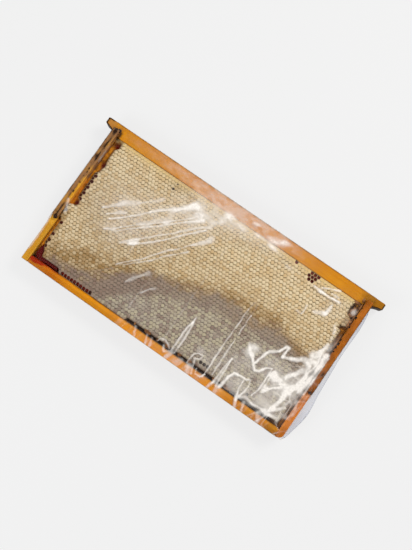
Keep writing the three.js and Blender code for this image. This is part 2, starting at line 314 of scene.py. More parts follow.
class Graph:
    """The node tree of one material. Every node in it is made by node()."""

    def __init__(self, name):
        self.material = bpy.data.materials.new(name)
        self.material.use_nodes = True
        self.tree = self.material.node_tree
        self.tree.nodes.clear()

    def node(self, kind, inputs, **settings):
        """A node of the kind, with its settings, then its sockets' values or links."""
        node = self.tree.nodes.new(kind)
        for key, value in settings.items():
            setattr(node, key, value)
        for key, value in inputs.items():
            if isinstance(value, Value):
                self.tree.links.new(value.socket, node.inputs[key])
            else:
                node.inputs[key].default_value = value
        return node

    def read(self, kind, output, inputs, **settings):
        """One output of a new node, as a value."""
        return Value(self, self.node(kind, inputs, **settings).outputs[output])

    def math(self, operation, first, second):
        """One operation on two numbers or values, as a value."""
        return self.read("ShaderNodeMath", 0, {0: first, 1: second}, operation=operation)

    def places(self, stretch=(1, 1, 1)):
        """Object coordinates in millimetres, divided along each axis by stretch."""
        start = self.read("ShaderNodeTexCoord", "Object", {})
        scale = tuple(1 / (MM * s) for s in stretch)
        return self.read("ShaderNodeVectorMath", 0, {0: start, 1: scale}, operation="MULTIPLY")

    def noise(self, size, detail=2.0, stretch=(1, 1, 1), roughness=0.5):
        """Soft random pattern with features about size millimetres across."""
        inputs = {"Vector": self.places(stretch), "Scale": 1 / size, "Detail": detail, "Roughness": roughness}
        return self.read("ShaderNodeTexNoise", "Fac", inputs)

    def field(self, name):
        """A number kept on the piece's own points."""
        return self.read("ShaderNodeAttribute", "Fac", {}, attribute_name=name)

    def blend(self, share, first, second):
        """A colour that goes from first to second as share goes from 0 to 1."""
        full = lambda c: c if isinstance(c, Value) else (*c[:3], 1)
        return self.read("ShaderNodeMix", 2, {0: share, 6: full(first), 7: full(second)}, data_type="RGBA")

    def relief(self, height, distance, strength=1.0):
        """A normal bent by a height pattern that is distance millimetres deep."""
        inputs = {"Height": height, "Distance": distance * MM, "Strength": strength}
        return self.read("ShaderNodeBump", "Normal", inputs)

    def surface(self, tint, rough, specular, normal=None, **more):
        """A principled surface. specular is held constant over it."""
        inputs = {"Base Color": tint, "Roughness": rough, "Specular IOR Level": specular}
        if normal:
            inputs["Normal"] = normal
        inputs.update(more)
        return self.read("ShaderNodeBsdfPrincipled", "BSDF", inputs)

    def finish(self, shader):
        """The material, with this shader as its surface."""
        self.node("ShaderNodeOutputMaterial", {"Surface": shader})
        return self.material


# ---- Settings --------------------------------------------------------------


def colour(name, description, red, green, blue):
    """A colour setting whose default is given as a display colour."""
    return FloatVectorProperty(name=name, description=description, subtype="COLOR",
                               size=3, min=0, max=1, default=linear(red, green, blue))


def length(name, description, millimetres):
    """A length setting whose default is given in millimetres."""
    return FloatProperty(name=name, description=description, default=millimetres * MM,
                         min=0, subtype="DISTANCE", unit="LENGTH", precision=5)


class WoodSettings(bpy.types.PropertyGroup):
    edge: length("Worn edge", "Radius of the bars' worn arrises", 0.7)
    top: colour("Top bar", "Waxed orange pine of the top bar", 211, 145, 28)
    top_dark: colour("Top bar grain", "Darker grain of the top bar", 193, 122, 12)
    left: colour("Left leg", "Yellow pine of the left side bar", 216, 160, 50)
    left_dark: colour("Left leg grain", "Darker grain of the left side bar", 196, 136, 28)
    right: colour("Right leg", "Orange pine of the right side bar", 220, 138, 50)
    right_dark: colour("Right leg grain", "Darker grain of the right side bar", 198, 112, 26)
    foot: colour("Bottom bar", "Honey-soaked pine of the bottom bar", 232, 156, 28)
    foot_dark: colour("Bottom bar grain", "Darker grain of the bottom bar", 222, 138, 12)
    # Amber: honey-skinned inner faces, painted bright as light glowing through the honey.
    amber: colour("Amber", "Inner faces under a skin of honey", 246, 176, 52)
    crust: colour("Propolis", "Brown bee glue on the left shoulder", 148, 106, 66)
    stain: colour("Stain", "Red-brown stain of honey and bee glue", 146, 82, 20)
    soaked: colour("Soaked end", "Reddish end of the bottom bar", 168, 46, 8)
    soot: colour("Dark propolis", "Nearly black bee glue and dirt", 36, 18, 6)


class CombSettings(bpy.types.PropertyGroup):
    pitch: length("Cell width", "Across the flats of one cell", 5.3)
    row: length("Row spacing", "From one row of cells to the next", 4.8)
    relief: length("Cap relief", "Depth of the grooves round each cap", 1.6)
    cap: colour("Caps", "Pale wax over full cells", 219, 201, 167)
    tan: colour("Tan caps", "Older wax", 204, 176, 132)
    # Groove colours: wax darkened as painted shade in the creases between caps.
    stain: colour("Stain", "Brown belt above the wet part", 156, 124, 80)
    groove: colour("Grooves", "Wax between the caps", 110, 91, 49)
    wet: colour("Wet caps", "Grey caps with honey behind them", 188, 179, 161)
    wet_groove: colour("Wet grooves", "Grooves between the grey caps", 86, 77, 62)
    lilac: colour("Border", "Brown border of the wet part", 136, 114, 100)
    olive: colour("Olive caps", "Yellowish caps among the grey ones", 176, 160, 112)
    # Wax ledge along the top bar, lightened as painted light where its sloping edge catches light.
    ledge: colour("Wax ledge", "Smooth yellow wax along the top bar", 208, 182, 122)
    # Deep: dark brown of the rim deep in the gaps and of open cells, partly dark wax and honey, partly
    # painted shade.
    deep: colour("Deep wax", "Brown wax in the gaps", 54, 30, 13)
    # Amber floor: honey in the gaps, painted bright as light glowing through it.
    amber: colour("Amber floor", "Honeyed floor of the gap on the left", 220, 142, 34)
    honey: colour("Honey", "Dark red honey", 84, 9, 4)
    ruby: colour("Thin honey", "Red honey in the open cells", 104, 24, 9)


class FilmSettings(bpy.types.PropertyGroup):
    step: length("Grid", "Spacing of the film's grid", 1.15)
    fold: length("Fold height", "Height of the tallest folds", 0.9)
    # Strength of the folds' milky haze, which also paints their highlights and glints.
    haze: FloatProperty(name="Haze", description="How milky the folds are", default=0.8,
                        min=0, max=1, subtype="FACTOR")
    glare: FloatProperty(name="Glare", description="How much smooth film mirrors",
                         default=0.5, min=0, max=1, subtype="FACTOR")
    # Colour of the folds' milky haze and of the highlights and glints painted with it.
    milk: colour("Milk", "Light that folds send back", 250, 244, 236)
    # Grey of the loose double film, darkened with painted shade.
    loose: colour("Loose edge", "Grey of the loose double film", 192, 195, 208)


class StageSettings(bpy.types.PropertyGroup):
    floor: colour("Floor", "Pale floor", 240, 240, 240)
    lens: FloatProperty(name="Lens", description="Focal length of the camera", default=50,
                        min=1, subtype="DISTANCE_CAMERA")
    place: FloatVectorProperty(name="Camera place", description="Where the camera stands",
                               subtype="TRANSLATION", unit="LENGTH", size=3,
                               default=(0.0854, -0.0675, 1.0793))
    aim: FloatVectorProperty(name="Camera aim", description="What the camera looks at",
                             subtype="TRANSLATION", unit="LENGTH", size=3,
                             default=(0.0071, 0.0097, 0.0300))
    roll: FloatProperty(name="Camera roll", description="How far the frame leans in the view",
                        default=math.radians(34.98), subtype="ANGLE", unit="ROTATION")


# ---- Wooden bars -----------------------------------------------------------


def wood_relief(places, fibre_axis, seed):
    """Fine long fibres, shallow dents and slow warping of a planed bar."""
    size = np.full(3, 1.6)
    size[fibre_axis] = 40.0
    fibres = 0.10 * noise(places, size, seed, 2)
    dents = -0.35 * np.clip(noise(places, (9, 9, 9), seed + 5) - 0.55, 0, 1)
    return fibres + dents + 0.12 * noise(places, (60, 60, 60), seed + 9)


def crust_cover(places, seed):
    """How much bee glue covers a place: mottled patches with small thick spots."""
    patches = rise(0.55 + 0.9 * noise(places, (7, 13, 7), seed, 3))
    spots = rise(3.0 * (noise(places, (3.2, 4.5, 3.2), seed + 3, 2) - 0.18))
    return patches, spots


def bar_fields(count, crust, spots, amber, grime):
    """The four numbers that the wood's finish reads at each point."""
    values = {"crust": crust, "spots": spots, "amber": amber, "grime": grime}
    return {name: np.clip(np.broadcast_to(value, count), 0, 1) for name, value in values.items()}


def lug_underside(x):
    """Drop of the top bar's underside: full height between the side bars, then
    a slope that runs out to the thin tip of each lug."""
    out = (LUG_TIP - np.abs(x)) / (LUG_TIP - OUTER)
    lug = LUG_TIP_HEIGHT + (LUG_ROOT_HEIGHT - LUG_TIP_HEIGHT) * rise(out) ** 1.5
    return np.where(np.abs(x) > INNER - CLEARANCE, lug, TOP_BAR_HEIGHT)


def lying_bar(along, low_y, high_y, edge, across, seed):
    """A bar along x between two heights: its shape, and each point's x and drop."""
    level = np.ones(len(along))
    low = stack(low_y * level, (MID - HALF_BAR) * level)
    high = stack(high_y * level, (MID + HALF_BAR) * level)
    shape = bar(along, low, high, edge, across, (1, 2, 0), lambda p: wood_relief(p, 0, seed))
    return shape, shape[0][:, 0], TOP_EDGE - shape[0][:, 1]


def make_top_bar(edge):
    """The top bar with its lugs. The slope of a lug starts on its own station."""
    span_step, lug_step = 1.5, 1.0
    limit = INNER - CLEARANCE
    middle = np.linspace(-limit, limit, int(2 * INNER / span_step))
    lug = np.linspace(limit + 0.01, LUG_TIP, int((LUG_TIP - INNER) / lug_step))
    along = np.concatenate([-lug[::-1], middle, lug])
    shape, x, drop = lying_bar(along, TOP_EDGE - lug_underside(along), TOP_EDGE, edge, 17, 11)
    ragged = noise(shape[0], (6, 4, 6), 17, 2)
    out = np.abs(x)
    tips = rise((out - LUG_TIP + 4.0 + 2.2 * ragged) / 2.5)
    under = rise((drop - lug_underside(x) + 2.4 + 1.4 * ragged) / 1.4) * rise((out - OUTER + 2) / 3)
    upper = 0.55 * rise((1.9 + ragged - drop) / 1.6)
    upper_tip = rise((2.6 + ragged - drop) / 2.0) * rise((out - OUTER - 3) / 4) * (x < 0)
    joint = rise((drop - 8 + 2 * ragged) / 3) * bump(out, INNER - 2.5, 2.4) * np.where(x < 0, 1, 0.35)
    worn = 0.44 * rise((x - 197 + 3 * ragged) / 9)
    streak = 0.7 * bump(x, 205.2, 1.6) * rise(0.6 + ragged)
    grime = np.maximum.reduce([tips, under, upper, upper_tip, joint, worn, streak])
    crust = 0.2 * joint + 0.5 * rise((-x - OUTER + 4) / 8) + 0.2 * rise((x - 130) / 60)
    fields = bar_fields(len(x), crust, 0.0, 0.0, grime)
    return new_piece("top_bar_wood", shape, fields, ["top_bar"])


def make_bottom_bar(edge):
    """The bottom bar, soaked with honey and reddened towards its left end."""
    stations = 280
    along = np.linspace(FOOT_LOW[0], FOOT_HIGH[0], stations)
    shape, x, drop = lying_bar(along, FOOT_LOW[1], FOOT_HIGH[1], edge, 13, 23)
    ragged = noise(shape[0], (9, 5, 9), 29, 3)
    soaked = rise((-172 - x + 22 * ragged) / 30)
    upper = 0.5 * rise((HEIGHT - 9.6 + ragged - drop) / 1.4)
    lower = 0.36 * rise((drop - HEIGHT + 1.2 + 0.7 * ragged) / 1.2)
    lower = lower + 0.22 * rise((drop - 225 + ragged) / 4) * (1 - band(x, -50, 120, 20))
    lower = lower + 0.26 * rise((x - 184) / 8)
    red = 0.45 * rise((-118 - x) / 60) + 0.6 * rise((-172 - x) / 22 + 0.8 * ragged - (drop - 224) / 4)
    stained = 0.3 * band(x, -203, -180, 5) * rise((225 - drop + 3 * ragged) / 3)
    fields = bar_fields(len(x), red, 0.0, 0.4 * soaked, np.maximum.reduce([upper, lower, stained]))
    return new_piece("bottom_bar_wood", shape, fields, ["bottom_bar"])


def side_depth(drop):
    """Half the depth of a side bar: broad shoulders that taper to a slim leg."""
    narrow = np.clip((drop - SHOULDER_FOOT) / SHOULDER_TAPER, 0, 1)
    return HALF_SHOULDER + (HALF_BAR - HALF_SHOULDER) * narrow


def side_limits(side, drop, depth_low, depth_high):
    """Limits of a side bar across z and x, with the right foot's worn corner."""
    lowered = np.clip(drop - (HEIGHT - WORN_CORNER), 0, WORN_CORNER)
    worn = (WORN_CORNER - np.sqrt(WORN_CORNER**2 - lowered**2)) * (side > 0)
    outer = OUTER - np.minimum(worn, OUTER - INNER - 2)
    near = np.where(side > 0, INNER, -outer)
    far = np.where(side > 0, outer, -INNER)
    low = stack(MID + depth_low, near * np.ones_like(drop))
    high = stack(MID + depth_high, far * np.ones_like(drop))
    return low, high


def make_side_bar(side, name, node, edge, seed):
    """One side bar: a leg with shoulders, and two prongs beside the top bar."""
    def relief(places):
        patches, spots = crust_cover(places, seed)
        drop = TOP_EDGE - places[..., 1]
        glued = band(drop, 0, SHOULDER_FOOT + 4, 3)
        return wood_relief(places, 1, seed + 40) * 0.8 + glued * (0.15 * patches + 0.45 * spots - 0.1)

    def run(first, last, step, low_depth, high_depth):
        drop = np.linspace(last, first, int((last - first) / step))
        low, high = side_limits(side, drop, low_depth(drop), high_depth(drop))
        return bar(TOP_EDGE - drop, low, high, edge, 17, (2, 0, 1), relief)

    leg_step, prong_step = 1.25, 0.8
    slot = HALF_BAR + CLEARANCE
    prong_foot = LUG_ROOT_HEIGHT + 3
    behind = lambda d: -side_depth(d)
    leg = run(LUG_ROOT_HEIGHT + CLEARANCE, HEIGHT, leg_step, behind, side_depth)
    front = run(SHOULDER_TOP, prong_foot, prong_step, lambda d: slot + 0 * d, side_depth)
    back = run(SHOULDER_TOP, prong_foot, prong_step, behind, lambda d: -slot + 0 * d)
    shape = join([leg, front, back])

    points = shape[0]
    drop = TOP_EDGE - points[:, 1]
    inward = OUTER - np.abs(points[:, 0])
    ragged = noise(points, (5, 8, 5), seed + 60, 3)
    patches, blots = crust_cover(points, seed)
    glued = band(drop, -5, SHOULDER_FOOT + 4 + 2.5 * ragged, 3)
    face = rise((np.abs(points[:, 2] - MID) - 11) / 1.5)
    knot = bump(drop, 13, 5.5) * bump(inward, 5, 3)
    if side < 0:
        outer = 1 - rise((inward - 5.6 - ragged) / 1.2)
        upper = 1 - rise((drop - 84 + 16 * ragged) / 14)
        lower = band(drop, 133, 158, 8)
        inner = (0.4 + 0.55 * patches) * np.maximum(upper, lower) + 0.15 * patches
        crust = outer * (0.5 + 0.4 * patches) + (1 - outer) * inner
        seam = bump(inward, 5.6 + 0.8 * ragged, 1.3) * face
        seam_strength = 0.8 * band(drop, 8, 64, 6) + 0.3 + 0.9 * band(drop, 119, 170, 8)
        spots = seam * seam_strength * rise(0.7 + 1.1 * ragged) + 0.5 * blots * outer
        spots = spots + bump(drop, 57, 3.5) * bump(inward, 3.5, 2.5) + knot
        spots = spots + bump(drop, 158.5, 3.4) * bump(inward, 6.6, 3)
    else:
        crust = 0.5 + 0.4 * patches + 0.45 * bump(drop, 146, 17)
        line = 0.25 * band(drop, 16, 112, 8) + 0.7 * band(drop, 60, 80, 5)
        line = bump(inward, 9.2, 1.1) * line * rise(0.65 + ragged)
        low = bump(drop, 128, 4) * bump(inward, 3, 3) + bump(drop, 158, 5) * bump(inward, 2.6, 3)
        joint = bump(drop, 12, 5) * rise((inward - 6.5) / 2)
        spots = 0.75 * line + 0.8 * low + 0.2 * joint + 0.2 * blots
    # Inner faces: honey amber, painted bright as light glowing through the honey in the gap.
    amber = rise((inward - 8.8 - 2.2 * rise((drop - 160) / 6)) / 0.5) * rise((215 - drop) / 40)
    rim = 0.35 * rise((drop - HEIGHT + 1.6 + ragged) / 1.6) + 0.5 * rise((1.3 - inward) / 1.2) * glued
    rim = rim + (0.24 * rise((drop - 212) / 8) if side > 0 else 0)
    fields = bar_fields(len(points), glued * crust, glued * spots, amber, rim)
    return new_piece(name, shape, fields, [node])


def wood_finish(name, settings, base, dark, crust_tint, fibre_axis):
    """Pine with long grain, stained amber where honey soaked in and painted bright as light glowing through
    the honey on the inner faces, brown where bee glue covers it and black in its thickest spots and along
    worn edges."""
    graph = Graph(name)
    stretch = [1.0, 1.0, 1.0]
    stretch[fibre_axis] = 26.0
    grain = graph.noise(1.1, 3, stretch, 0.6)
    broad = graph.noise(5.0, 2, stretch)
    cloud = graph.noise(22.0, 3)
    fine = graph.noise(0.9, 3)
    shade = (grain * 0.4 + broad * 0.3 + cloud * 0.45 - 0.2).between(0.2, 0.62)
    wood = graph.blend(shade, dark, base)
    # Painted light: amber where light glows through the honey.
    amber = graph.field("amber")
    wood = graph.blend((amber * (0.75 + 0.5 * cloud)).clamped(), wood, settings.amber)
    crust = graph.field("crust")
    mottled = (crust * 1.25 - 0.2 + 0.5 * fine * crust).clamped()
    wood = graph.blend(mottled, wood, crust_tint)
    dirt = graph.field("grime") * (0.55 + 0.9 * fine)
    spots = graph.field("spots")
    wood = graph.blend((dirt + spots * 0.95).clamped(), wood, settings.soot)
    rough = 0.5 + 0.18 * grain - 0.12 * spots - 0.15 * amber
    height = grain * 0.6 + fine * 0.25 + mottled * 0.5 * fine
    return graph.finish(graph.surface(wood, rough, 0.1, graph.relief(height, 0.25, 0.8)))


# ---- Comb ------------------------------------------------------------------


# A drop below the whole frame, for bands that run on past its foot.
BELOW = 260


def left_gap(drop):
    """Free space from the left side bar to the comb: a long slit with deeper
    bites, a bridge of wax, a narrower slit and a corner that widens."""
    slit = 8.0 * band(drop, -9, 131, 4) + 0.8 * band(drop, -9, 72, 4) - 2.6 * band(drop, 75, 120, 3)
    bites = 4.4 * band(drop, 17, 33, 5) + 3.2 * bump(drop, 62, 6.5) + 4.2 * bump(drop, 126, 5)
    lower_slit = 4.7 * band(drop, 156, BELOW, 5)
    return slit + bites + lower_slit + 8.5 * rise((drop - 194) / 20)


def right_gap(drop):
    """Free space from the comb to the right side bar, widest under the top bar
    and shut by a web of wax below that."""
    hole = 12.5 * band(drop, -9, 42, 5) - 3 * bump(drop, 22, 2.5)
    web = 3.2 * band(drop, 42, 58, 4) + 4 * bump(drop, 61, 2.5)
    return hole + web + 6.5 * band(drop, 58, BELOW, 4)


def foot_gap(x):
    """Free space from the comb to the bottom bar: open in the left corner, shut
    along the left third and open again to the right."""
    return 6.0 * band(x, -300, -164, 5) + 5.3 * band(x, -48, 300, 5)


def insets(x, drop):
    """Distances inward from the comb's left, right, top and lower edge."""
    limit = INNER - CLEARANCE
    return (x + limit - left_gap(drop), limit - right_gap(drop) - x,
            drop - COMB_TOP, COMB_FOOT - foot_gap(x) - drop)


def comb_half_depth(x, drop):
    """Half the comb's depth: a level face with slow waves that rounds off along
    a quarter ellipse to its rim, flush with the wood under the top bar."""
    rims = (13.2, 13.2, 12.3, 12.8)
    widths = (8, 8, 11, 8)
    lost = 0.0
    for distance, rim, width in zip(insets(x, drop), rims, widths):
        near = np.clip(1 - distance / width, 0, 1)
        lost = np.maximum(lost, (HALF_COMB - rim) * (1 - np.sqrt(1 - near * near)))
    return HALF_COMB - 0.75 + 0.4 * drift(x, drop, 75, 60, 3, 2) - lost


def wet_line(x):
    """Drop at which the part with honey behind its caps starts: it climbs from
    the lower left to a crest on the right and dips again beyond it."""
    line = ((-208, 222), (-112, 192), (-90, 171), (-70, 156), (-50, 148), (-30, 142), (-10, 136), (10, 129),
            (40, 122), (80, 118), (108, 113), (130, 109), (150, 117), (180, 127), (208, 131))
    return np.interp(x, *zip(*line))


def wet_part(x, drop):
    """1 where honey stands behind the caps, below a wandering line."""
    wander = 9 * drift(x, drop, 19, 15, 31, 2) + 7 * drift(x, drop, 5.3, 4.8, 33)
    return rise(0.2 + (drop - wet_line(x) + wander) / 15)


def border_part(x, drop):
    """1 along the upper border of the wet part, broader at the left."""
    left = rise(-x / 70)
    below = drop - wet_line(x) + 8 * drift(x, drop, 15, 12, 37, 2)
    return (0.6 + 0.3 * left) * band(below, -4, 22 + 16 * left, 14)


def brown_part(x, drop):
    """1 where the wax is stained brown: a belt above the wet part, broad at the
    lower left, and a patch near the top on the left."""
    above = drop - wet_line(x) + 7 * drift(x, drop, 24, 17, 35, 2)
    belt = rise((above + 20 + 20 * rise((-60 - x) / 60)) / 24)
    patch = 0.5 * bump(x, -76, 17) * bump(drop, 27, 6) + 0.45 * bump(x, -99, 6) * bump(drop, 28, 7)
    foot = 0.55 * rise((drop - 203) / 8) * band(x, -196, -150, 12)
    slope = (0.25 + 0.15 * rise(x / 80)) * rise((drop - 55) / 60)
    slope = slope * (1 - 0.9 * (1 - rise((x + 200) / 36)) * band(drop, 124, 160, 8))
    edge = 0.7 * (1 - rise((x + 198.5) / 2.5)) * (1 - band(drop, 130, 142, 3))
    edge = edge + 0.8 * rise((x - 194 - 2 * drift(x, drop, 6, 6, 37, 2)) / 4) * band(drop, 16, 62, 4)
    return np.clip(0.8 * belt + patch + foot + slope + edge, 0, 1)


def lattice(pitch, row):
    """Hexagonal cells on a slightly warped lattice, rows along the top bar. Each
    corner and the middle of each wall is shared by its neighbours: a corner is
    known by its whole-numbered place on a grid of half widths and third rows."""
    rows = int((COMB_FOOT - COMB_TOP) / row) + 3
    columns = int(2 * INNER / pitch) + 3
    j, i = np.meshgrid(np.arange(rows), np.arange(columns) - columns // 2, indexing="ij")
    centre = stack(2 * i + j % 2, 3 * j).reshape(-1, 2)
    corners = np.array([[0, -2], [-1, -1], [-1, 1], [0, 2], [1, 1], [1, -1]])
    corner_keys = 2 * (centre[:, None] + corners[None])
    wall_keys = (corner_keys + np.roll(corner_keys, -1, axis=1)) // 2
    ring_keys = np.stack([corner_keys, wall_keys], axis=2).reshape(-1, 2)
    keys, ring = np.unique(ring_keys, axis=0, return_inverse=True)
    ring = ring.reshape(-1, 12)

    def place(doubled):
        x = doubled[..., 0] * pitch / 4 - 0.9
        span = COMB_FOOT - COMB_TOP
        down = doubled[..., 1] * row / 6 + 0.55 * row
        drop = COMB_TOP + down * (1.036 - 0.038 * down / span)
        return (x + 1.5 * drift(x, drop, 62, 50, 5) + 0.3 * drift(x, drop, 8, 8, 7),
                drop + 0.7 * drift(x, drop, 70, 55, 6) + 0.28 * drift(x, drop, 8, 8, 8))

    return place(2 * centre), place(keys), ring


def open_cells(x, drop, chance):
    """Which cells have no cap: along the left edge, in the row at the foot, in a
    cluster under the top bar, and a few single ones."""
    left, _, _, foot = insets(x, drop)
    edge_parts = band(drop, 74, 121, 1) + band(drop, 142, 152, 1) + band(drop, 158, 200, 1)
    left_edge = (left < 5.2) & (edge_parts > 0.5) & (chance < 0.96)
    foot_row = (foot < 4.2) & (x > -160) & (x < -109)
    cluster = ((x - 130.5) / 8.4) ** 2 + ((drop - 25) / 7.6) ** 2 < 0.85 + 0.3 * chance
    three = (np.abs(x - 73.5) < 7.6) & (np.abs(drop - 211) < 2.4)
    single = np.zeros(len(x), bool)
    for place_x, place_drop in ((101, 22), (147, 207.5)):
        distance = np.hypot(x - place_x, drop - place_drop)
        single |= distance == distance.min()
    return left_edge | foot_row | cluster | three | single


def snapped(x, drop, rim):
    """Rim points moved onto the comb's outline, out to the nearest edge."""
    left, right, top, foot = insets(x[rim], drop[rim])
    near = 5.2
    x[rim] += np.where(right < near, right, 0) - np.where(left < near, left, 0)
    drop[rim] += np.where(foot < near, foot, 0) - np.where(top < near, top, 0)


def cap_height(x, drop, wet_loss):
    """How far caps and grooves stand out: less under the top bar and where wet."""
    return (0.3 + 0.7 * rise((drop - COMB_TOP - 3) / 5)) * (1 - wet_loss * wet_part(x, drop))


def place_ids(x, drop, seed):
    """Whole numbers that stand for each place, to draw its own random numbers."""
    return stack(x * 7, drop * 7, np.full(len(x), seed)).astype(np.int64)


def groove_depth_and_shade(x, drop, ring, seed):
    """How deep the groove is at each outline point, and how much shade is painted there: full on the walls
    that lean one way, less at the corners and on the other leaning walls, shallow on upright ones."""
    share = np.full(len(x), 0.8)
    for walls, wall_share in (((1, 7), 1.0), ((5, 11), 0.65), ((3, 9), 0.2)):
        share[ring[:, walls].ravel()] = wall_share
    return share * (0.5 + scatter(place_ids(x, drop, seed), seed + 5))


def cell_triangles(ring, first, steps):
    """Faces from each cell's outline inward, over its smaller rings of six points,
    to its middle. first is the number of the first point after the outlines."""
    count = len(ring)
    triangles = []
    outer, after = ring, np.roll(ring, -1, axis=1)
    if steps:
        corner, wall, next_corner = ring[:, 0::2], ring[:, 1::2], np.roll(ring, -2, axis=1)[:, 0::2]
        outer = first + np.arange(count * 6).reshape(-1, 6)
        after = np.roll(outer, -1, axis=1)
        triangles += [stack(outer, corner, wall), stack(outer, wall, after), stack(after, wall, next_corner)]
    for _ in range(steps - 1):
        small = outer + count * 6
        small_after = np.roll(small, -1, axis=1)
        triangles += [stack(small, outer, after), stack(small, after, small_after)]
        outer, after = small, small_after
    middle = (first + steps * count * 6 + np.arange(count))[:, None]
    triangles.append(stack(np.broadcast_to(middle, outer.shape), outer, after))
    return np.concatenate([part.reshape(-1, 3) for part in triangles])


def cap_face(cells, keyed, ring, kept, coarse, seed, settings):
    """One face of the comb. Each kept cell is a cap: a low dome with a groove
    round it, or a sunk cell where it is open. Returns x, drop, height above the
    middle plane, faces, fields and the edges of its rim. coarse leaves out the
    smaller rings of points in each cell."""
    relief = settings.relief / MM
    cell_x, cell_drop = (v[kept] for v in cells)
    ring = ring[kept]
    used, ring = np.unique(ring, return_inverse=True)
    ring = ring.reshape(-1, 12)
    edge_x, edge_drop = (v[used].copy() for v in keyed)
    rim = rim_edges(ring)
    snapped(edge_x, edge_drop, np.unique(rim))
    ids = place_ids(cell_x, cell_drop, seed)
    chance = scatter(ids, seed)
    sunk = insets(cell_x, cell_drop)[0] < 4 if coarse else open_cells(cell_x, cell_drop, chance)

    capped = cap_height(cell_x, cell_drop, 0.25)
    amount = relief * (0.75 + 0.5 * scatter(ids, seed + 1)) * capped
    corner = np.arange(0, 12, 2)
    ring_x, ring_drop = edge_x[ring], edge_drop[ring]
    shift = 0.3 * (stack(scatter(ids, seed + 2), scatter(ids, seed + 3)) - 0.5)

    def inner(share, lift, open_share, open_lift):
        """Six points on a smaller copy of the cell, with their heights."""
        part = np.where(sunk, open_share, share)[:, None]
        x = cell_x[:, None] + (ring_x[:, corner] - cell_x[:, None]) * part + shift[:, :1]
        drop = cell_drop[:, None] + (ring_drop[:, corner] - cell_drop[:, None]) * part + shift[:, 1:]
        lean = 0.05 * (chance[:, None] - 0.5) * (ring_x[:, corner] - cell_x[:, None])
        rising = np.where(sunk[:, None], open_lift, amount[:, None] * lift + lean)
        return x, drop, comb_half_depth(x, drop) + rising

    shares = () if coarse else ((0.78, 0.0, 0.88, -0.3), (0.44, 0.22, 0.76, -3.2))
    rings = [inner(*share) for share in shares]
    centre_height = comb_half_depth(cell_x, cell_drop) + np.where(sunk, -3.6, amount * 0.27)

    at_edge = np.zeros(len(edge_x))
    np.add.at(at_edge, ring.ravel(), np.repeat(sunk, 12))
    edge_open = np.clip(at_edge, 0, 1)
    edge_capped = cap_height(edge_x, edge_drop, 0.2)
    share = groove_depth_and_shade(edge_x, edge_drop, ring, seed)
    depth = relief * edge_capped * share * (1 - edge_open)
    depth = depth * (0.85 + 0.6 * drift(edge_x, edge_drop, 7, 6, 41, 2))
    edge_height = comb_half_depth(edge_x, edge_drop) - depth

    levels = [(edge_x, edge_drop, edge_height), *rings, (cell_x, cell_drop, centre_height)]
    places = [np.concatenate([part.ravel() for part in parts]) for parts in zip(*levels)]
    triangles = cell_triangles(ring, len(edge_x), len(rings))

    own = lambda value: [np.repeat(value, 6) for _ in rings] + [value]
    soaked_walls = bump(edge_x, 130.5, 14) * bump(edge_drop, 25, 12)
    sides = [np.repeat(part * sunk, 6) for part in (0.4, 1.0)[:len(rings)]]
    fields = {
        # groove: where shade is painted into the grooves, strongest on walls that lean one way.
        "groove": np.concatenate([edge_capped * share * (1 - 0.9 * edge_open)] + own(0.02 * capped)),
        "tone": np.concatenate([np.full(len(edge_x), 0.5)] + own(chance)),
        "hollow": np.concatenate([(0.1 + 0.5 * soaked_walls) * edge_open] + sides + [1.0 * sunk]),
    }
    return *places, triangles, fields, rim


def rim_edges(ring):
    """The directed edges of cells that no other cell shares."""
    edges = stack(ring, np.roll(ring, -1, axis=1)).reshape(-1, 2)
    low_high = np.sort(edges, axis=1)
    _, place, count = np.unique(low_high, axis=0, return_index=True, return_counts=True)
    return edges[place[count == 1]]


def wall_place(x, drop):
    """Where the comb's middle meets the wood: rim points pulled out to the
    nearest bar of the frame."""
    limit = INNER - 0.25
    out_x = np.where(x + limit < 17, -limit, np.where(limit - x < 17, limit, x))
    out_drop = np.where(COMB_FOOT - drop < 10, COMB_FOOT - 0.2, drop)
    return out_x, np.where(drop - COMB_TOP < 6, COMB_TOP - 0.2, out_drop)


def red_part(x, drop):
    """1 where honey makes the wax crimson: the lower left corner, spots along
    the left edge and the cluster of open cells under the top bar."""
    corner = band(x, -203.5, -112, 4) * rise((drop - 198) / 8)
    spots = bump(drop, 29, 4.5) + bump(drop, 62, 6) + bump(drop, 126, 5)
    edge = rise((x + 206.0) / 2.5) * band(x, -230, -190, 2) * np.clip(spots, 0, 1)
    return np.clip(corner + edge + bump(x, 130, 14) * bump(drop, 25, 12)
                   + bump(x, 100, 5) * bump(drop, 21.5, 5), 0, 1)


def stains_shade_and_light(points, pulled):
    """The stains on the wax, the painted shade deep in the gaps and the painted light on the ledge and the
    amber gap floor, as one number per point for each. The rim's points come last, and pulled is how far each
    of them has moved out to the wood."""
    x, drop = points[:, 0], TOP_EDGE - points[:, 1]
    down = drop - COMB_TOP
    caps = np.zeros(len(points) - len(pulled))
    # Gap floors beside the wood: honey amber, painted bright as light glowing through it.
    left_floor = band(x, -230, -190, 2) * (1 - rise((drop - 211) / 8))
    left_floor = left_floor * (0.3 + 0.7 * rise((drop - 27) / 12)) * (1 - 0.5 * bump(drop, 57, 5))
    right_floor = 0.9 * band(x, 190, 230, 4) * (1 - 0.7 * rise((drop - 96) / 60))
    at_wood = np.concatenate([caps + 1, 0.3 + 0.7 * rise((pulled - 0.2) / 0.25)])
    return {
        # Painted shade: the rim darkens where it drops into the gaps, but not right under the top bar.
        "deep": np.concatenate([caps, rise(pulled / 0.2)]) * rise((down - 0.5) / 3),
        "wet": wet_part(x, drop),
        "brown": brown_part(x, drop),
        "border": border_part(x, drop),
        # Painted light: the wax ledge under the top bar, lighter where its edge catches light.
        "ledge": np.clip(1 - rise((down - 1.5) / 5) + 0.45 * (1 - rise((down - 4) / 14)), 0, 1),
        "amber": np.clip(left_floor + right_floor, 0, 1) * at_wood,
        "red": red_part(x, drop),
    }


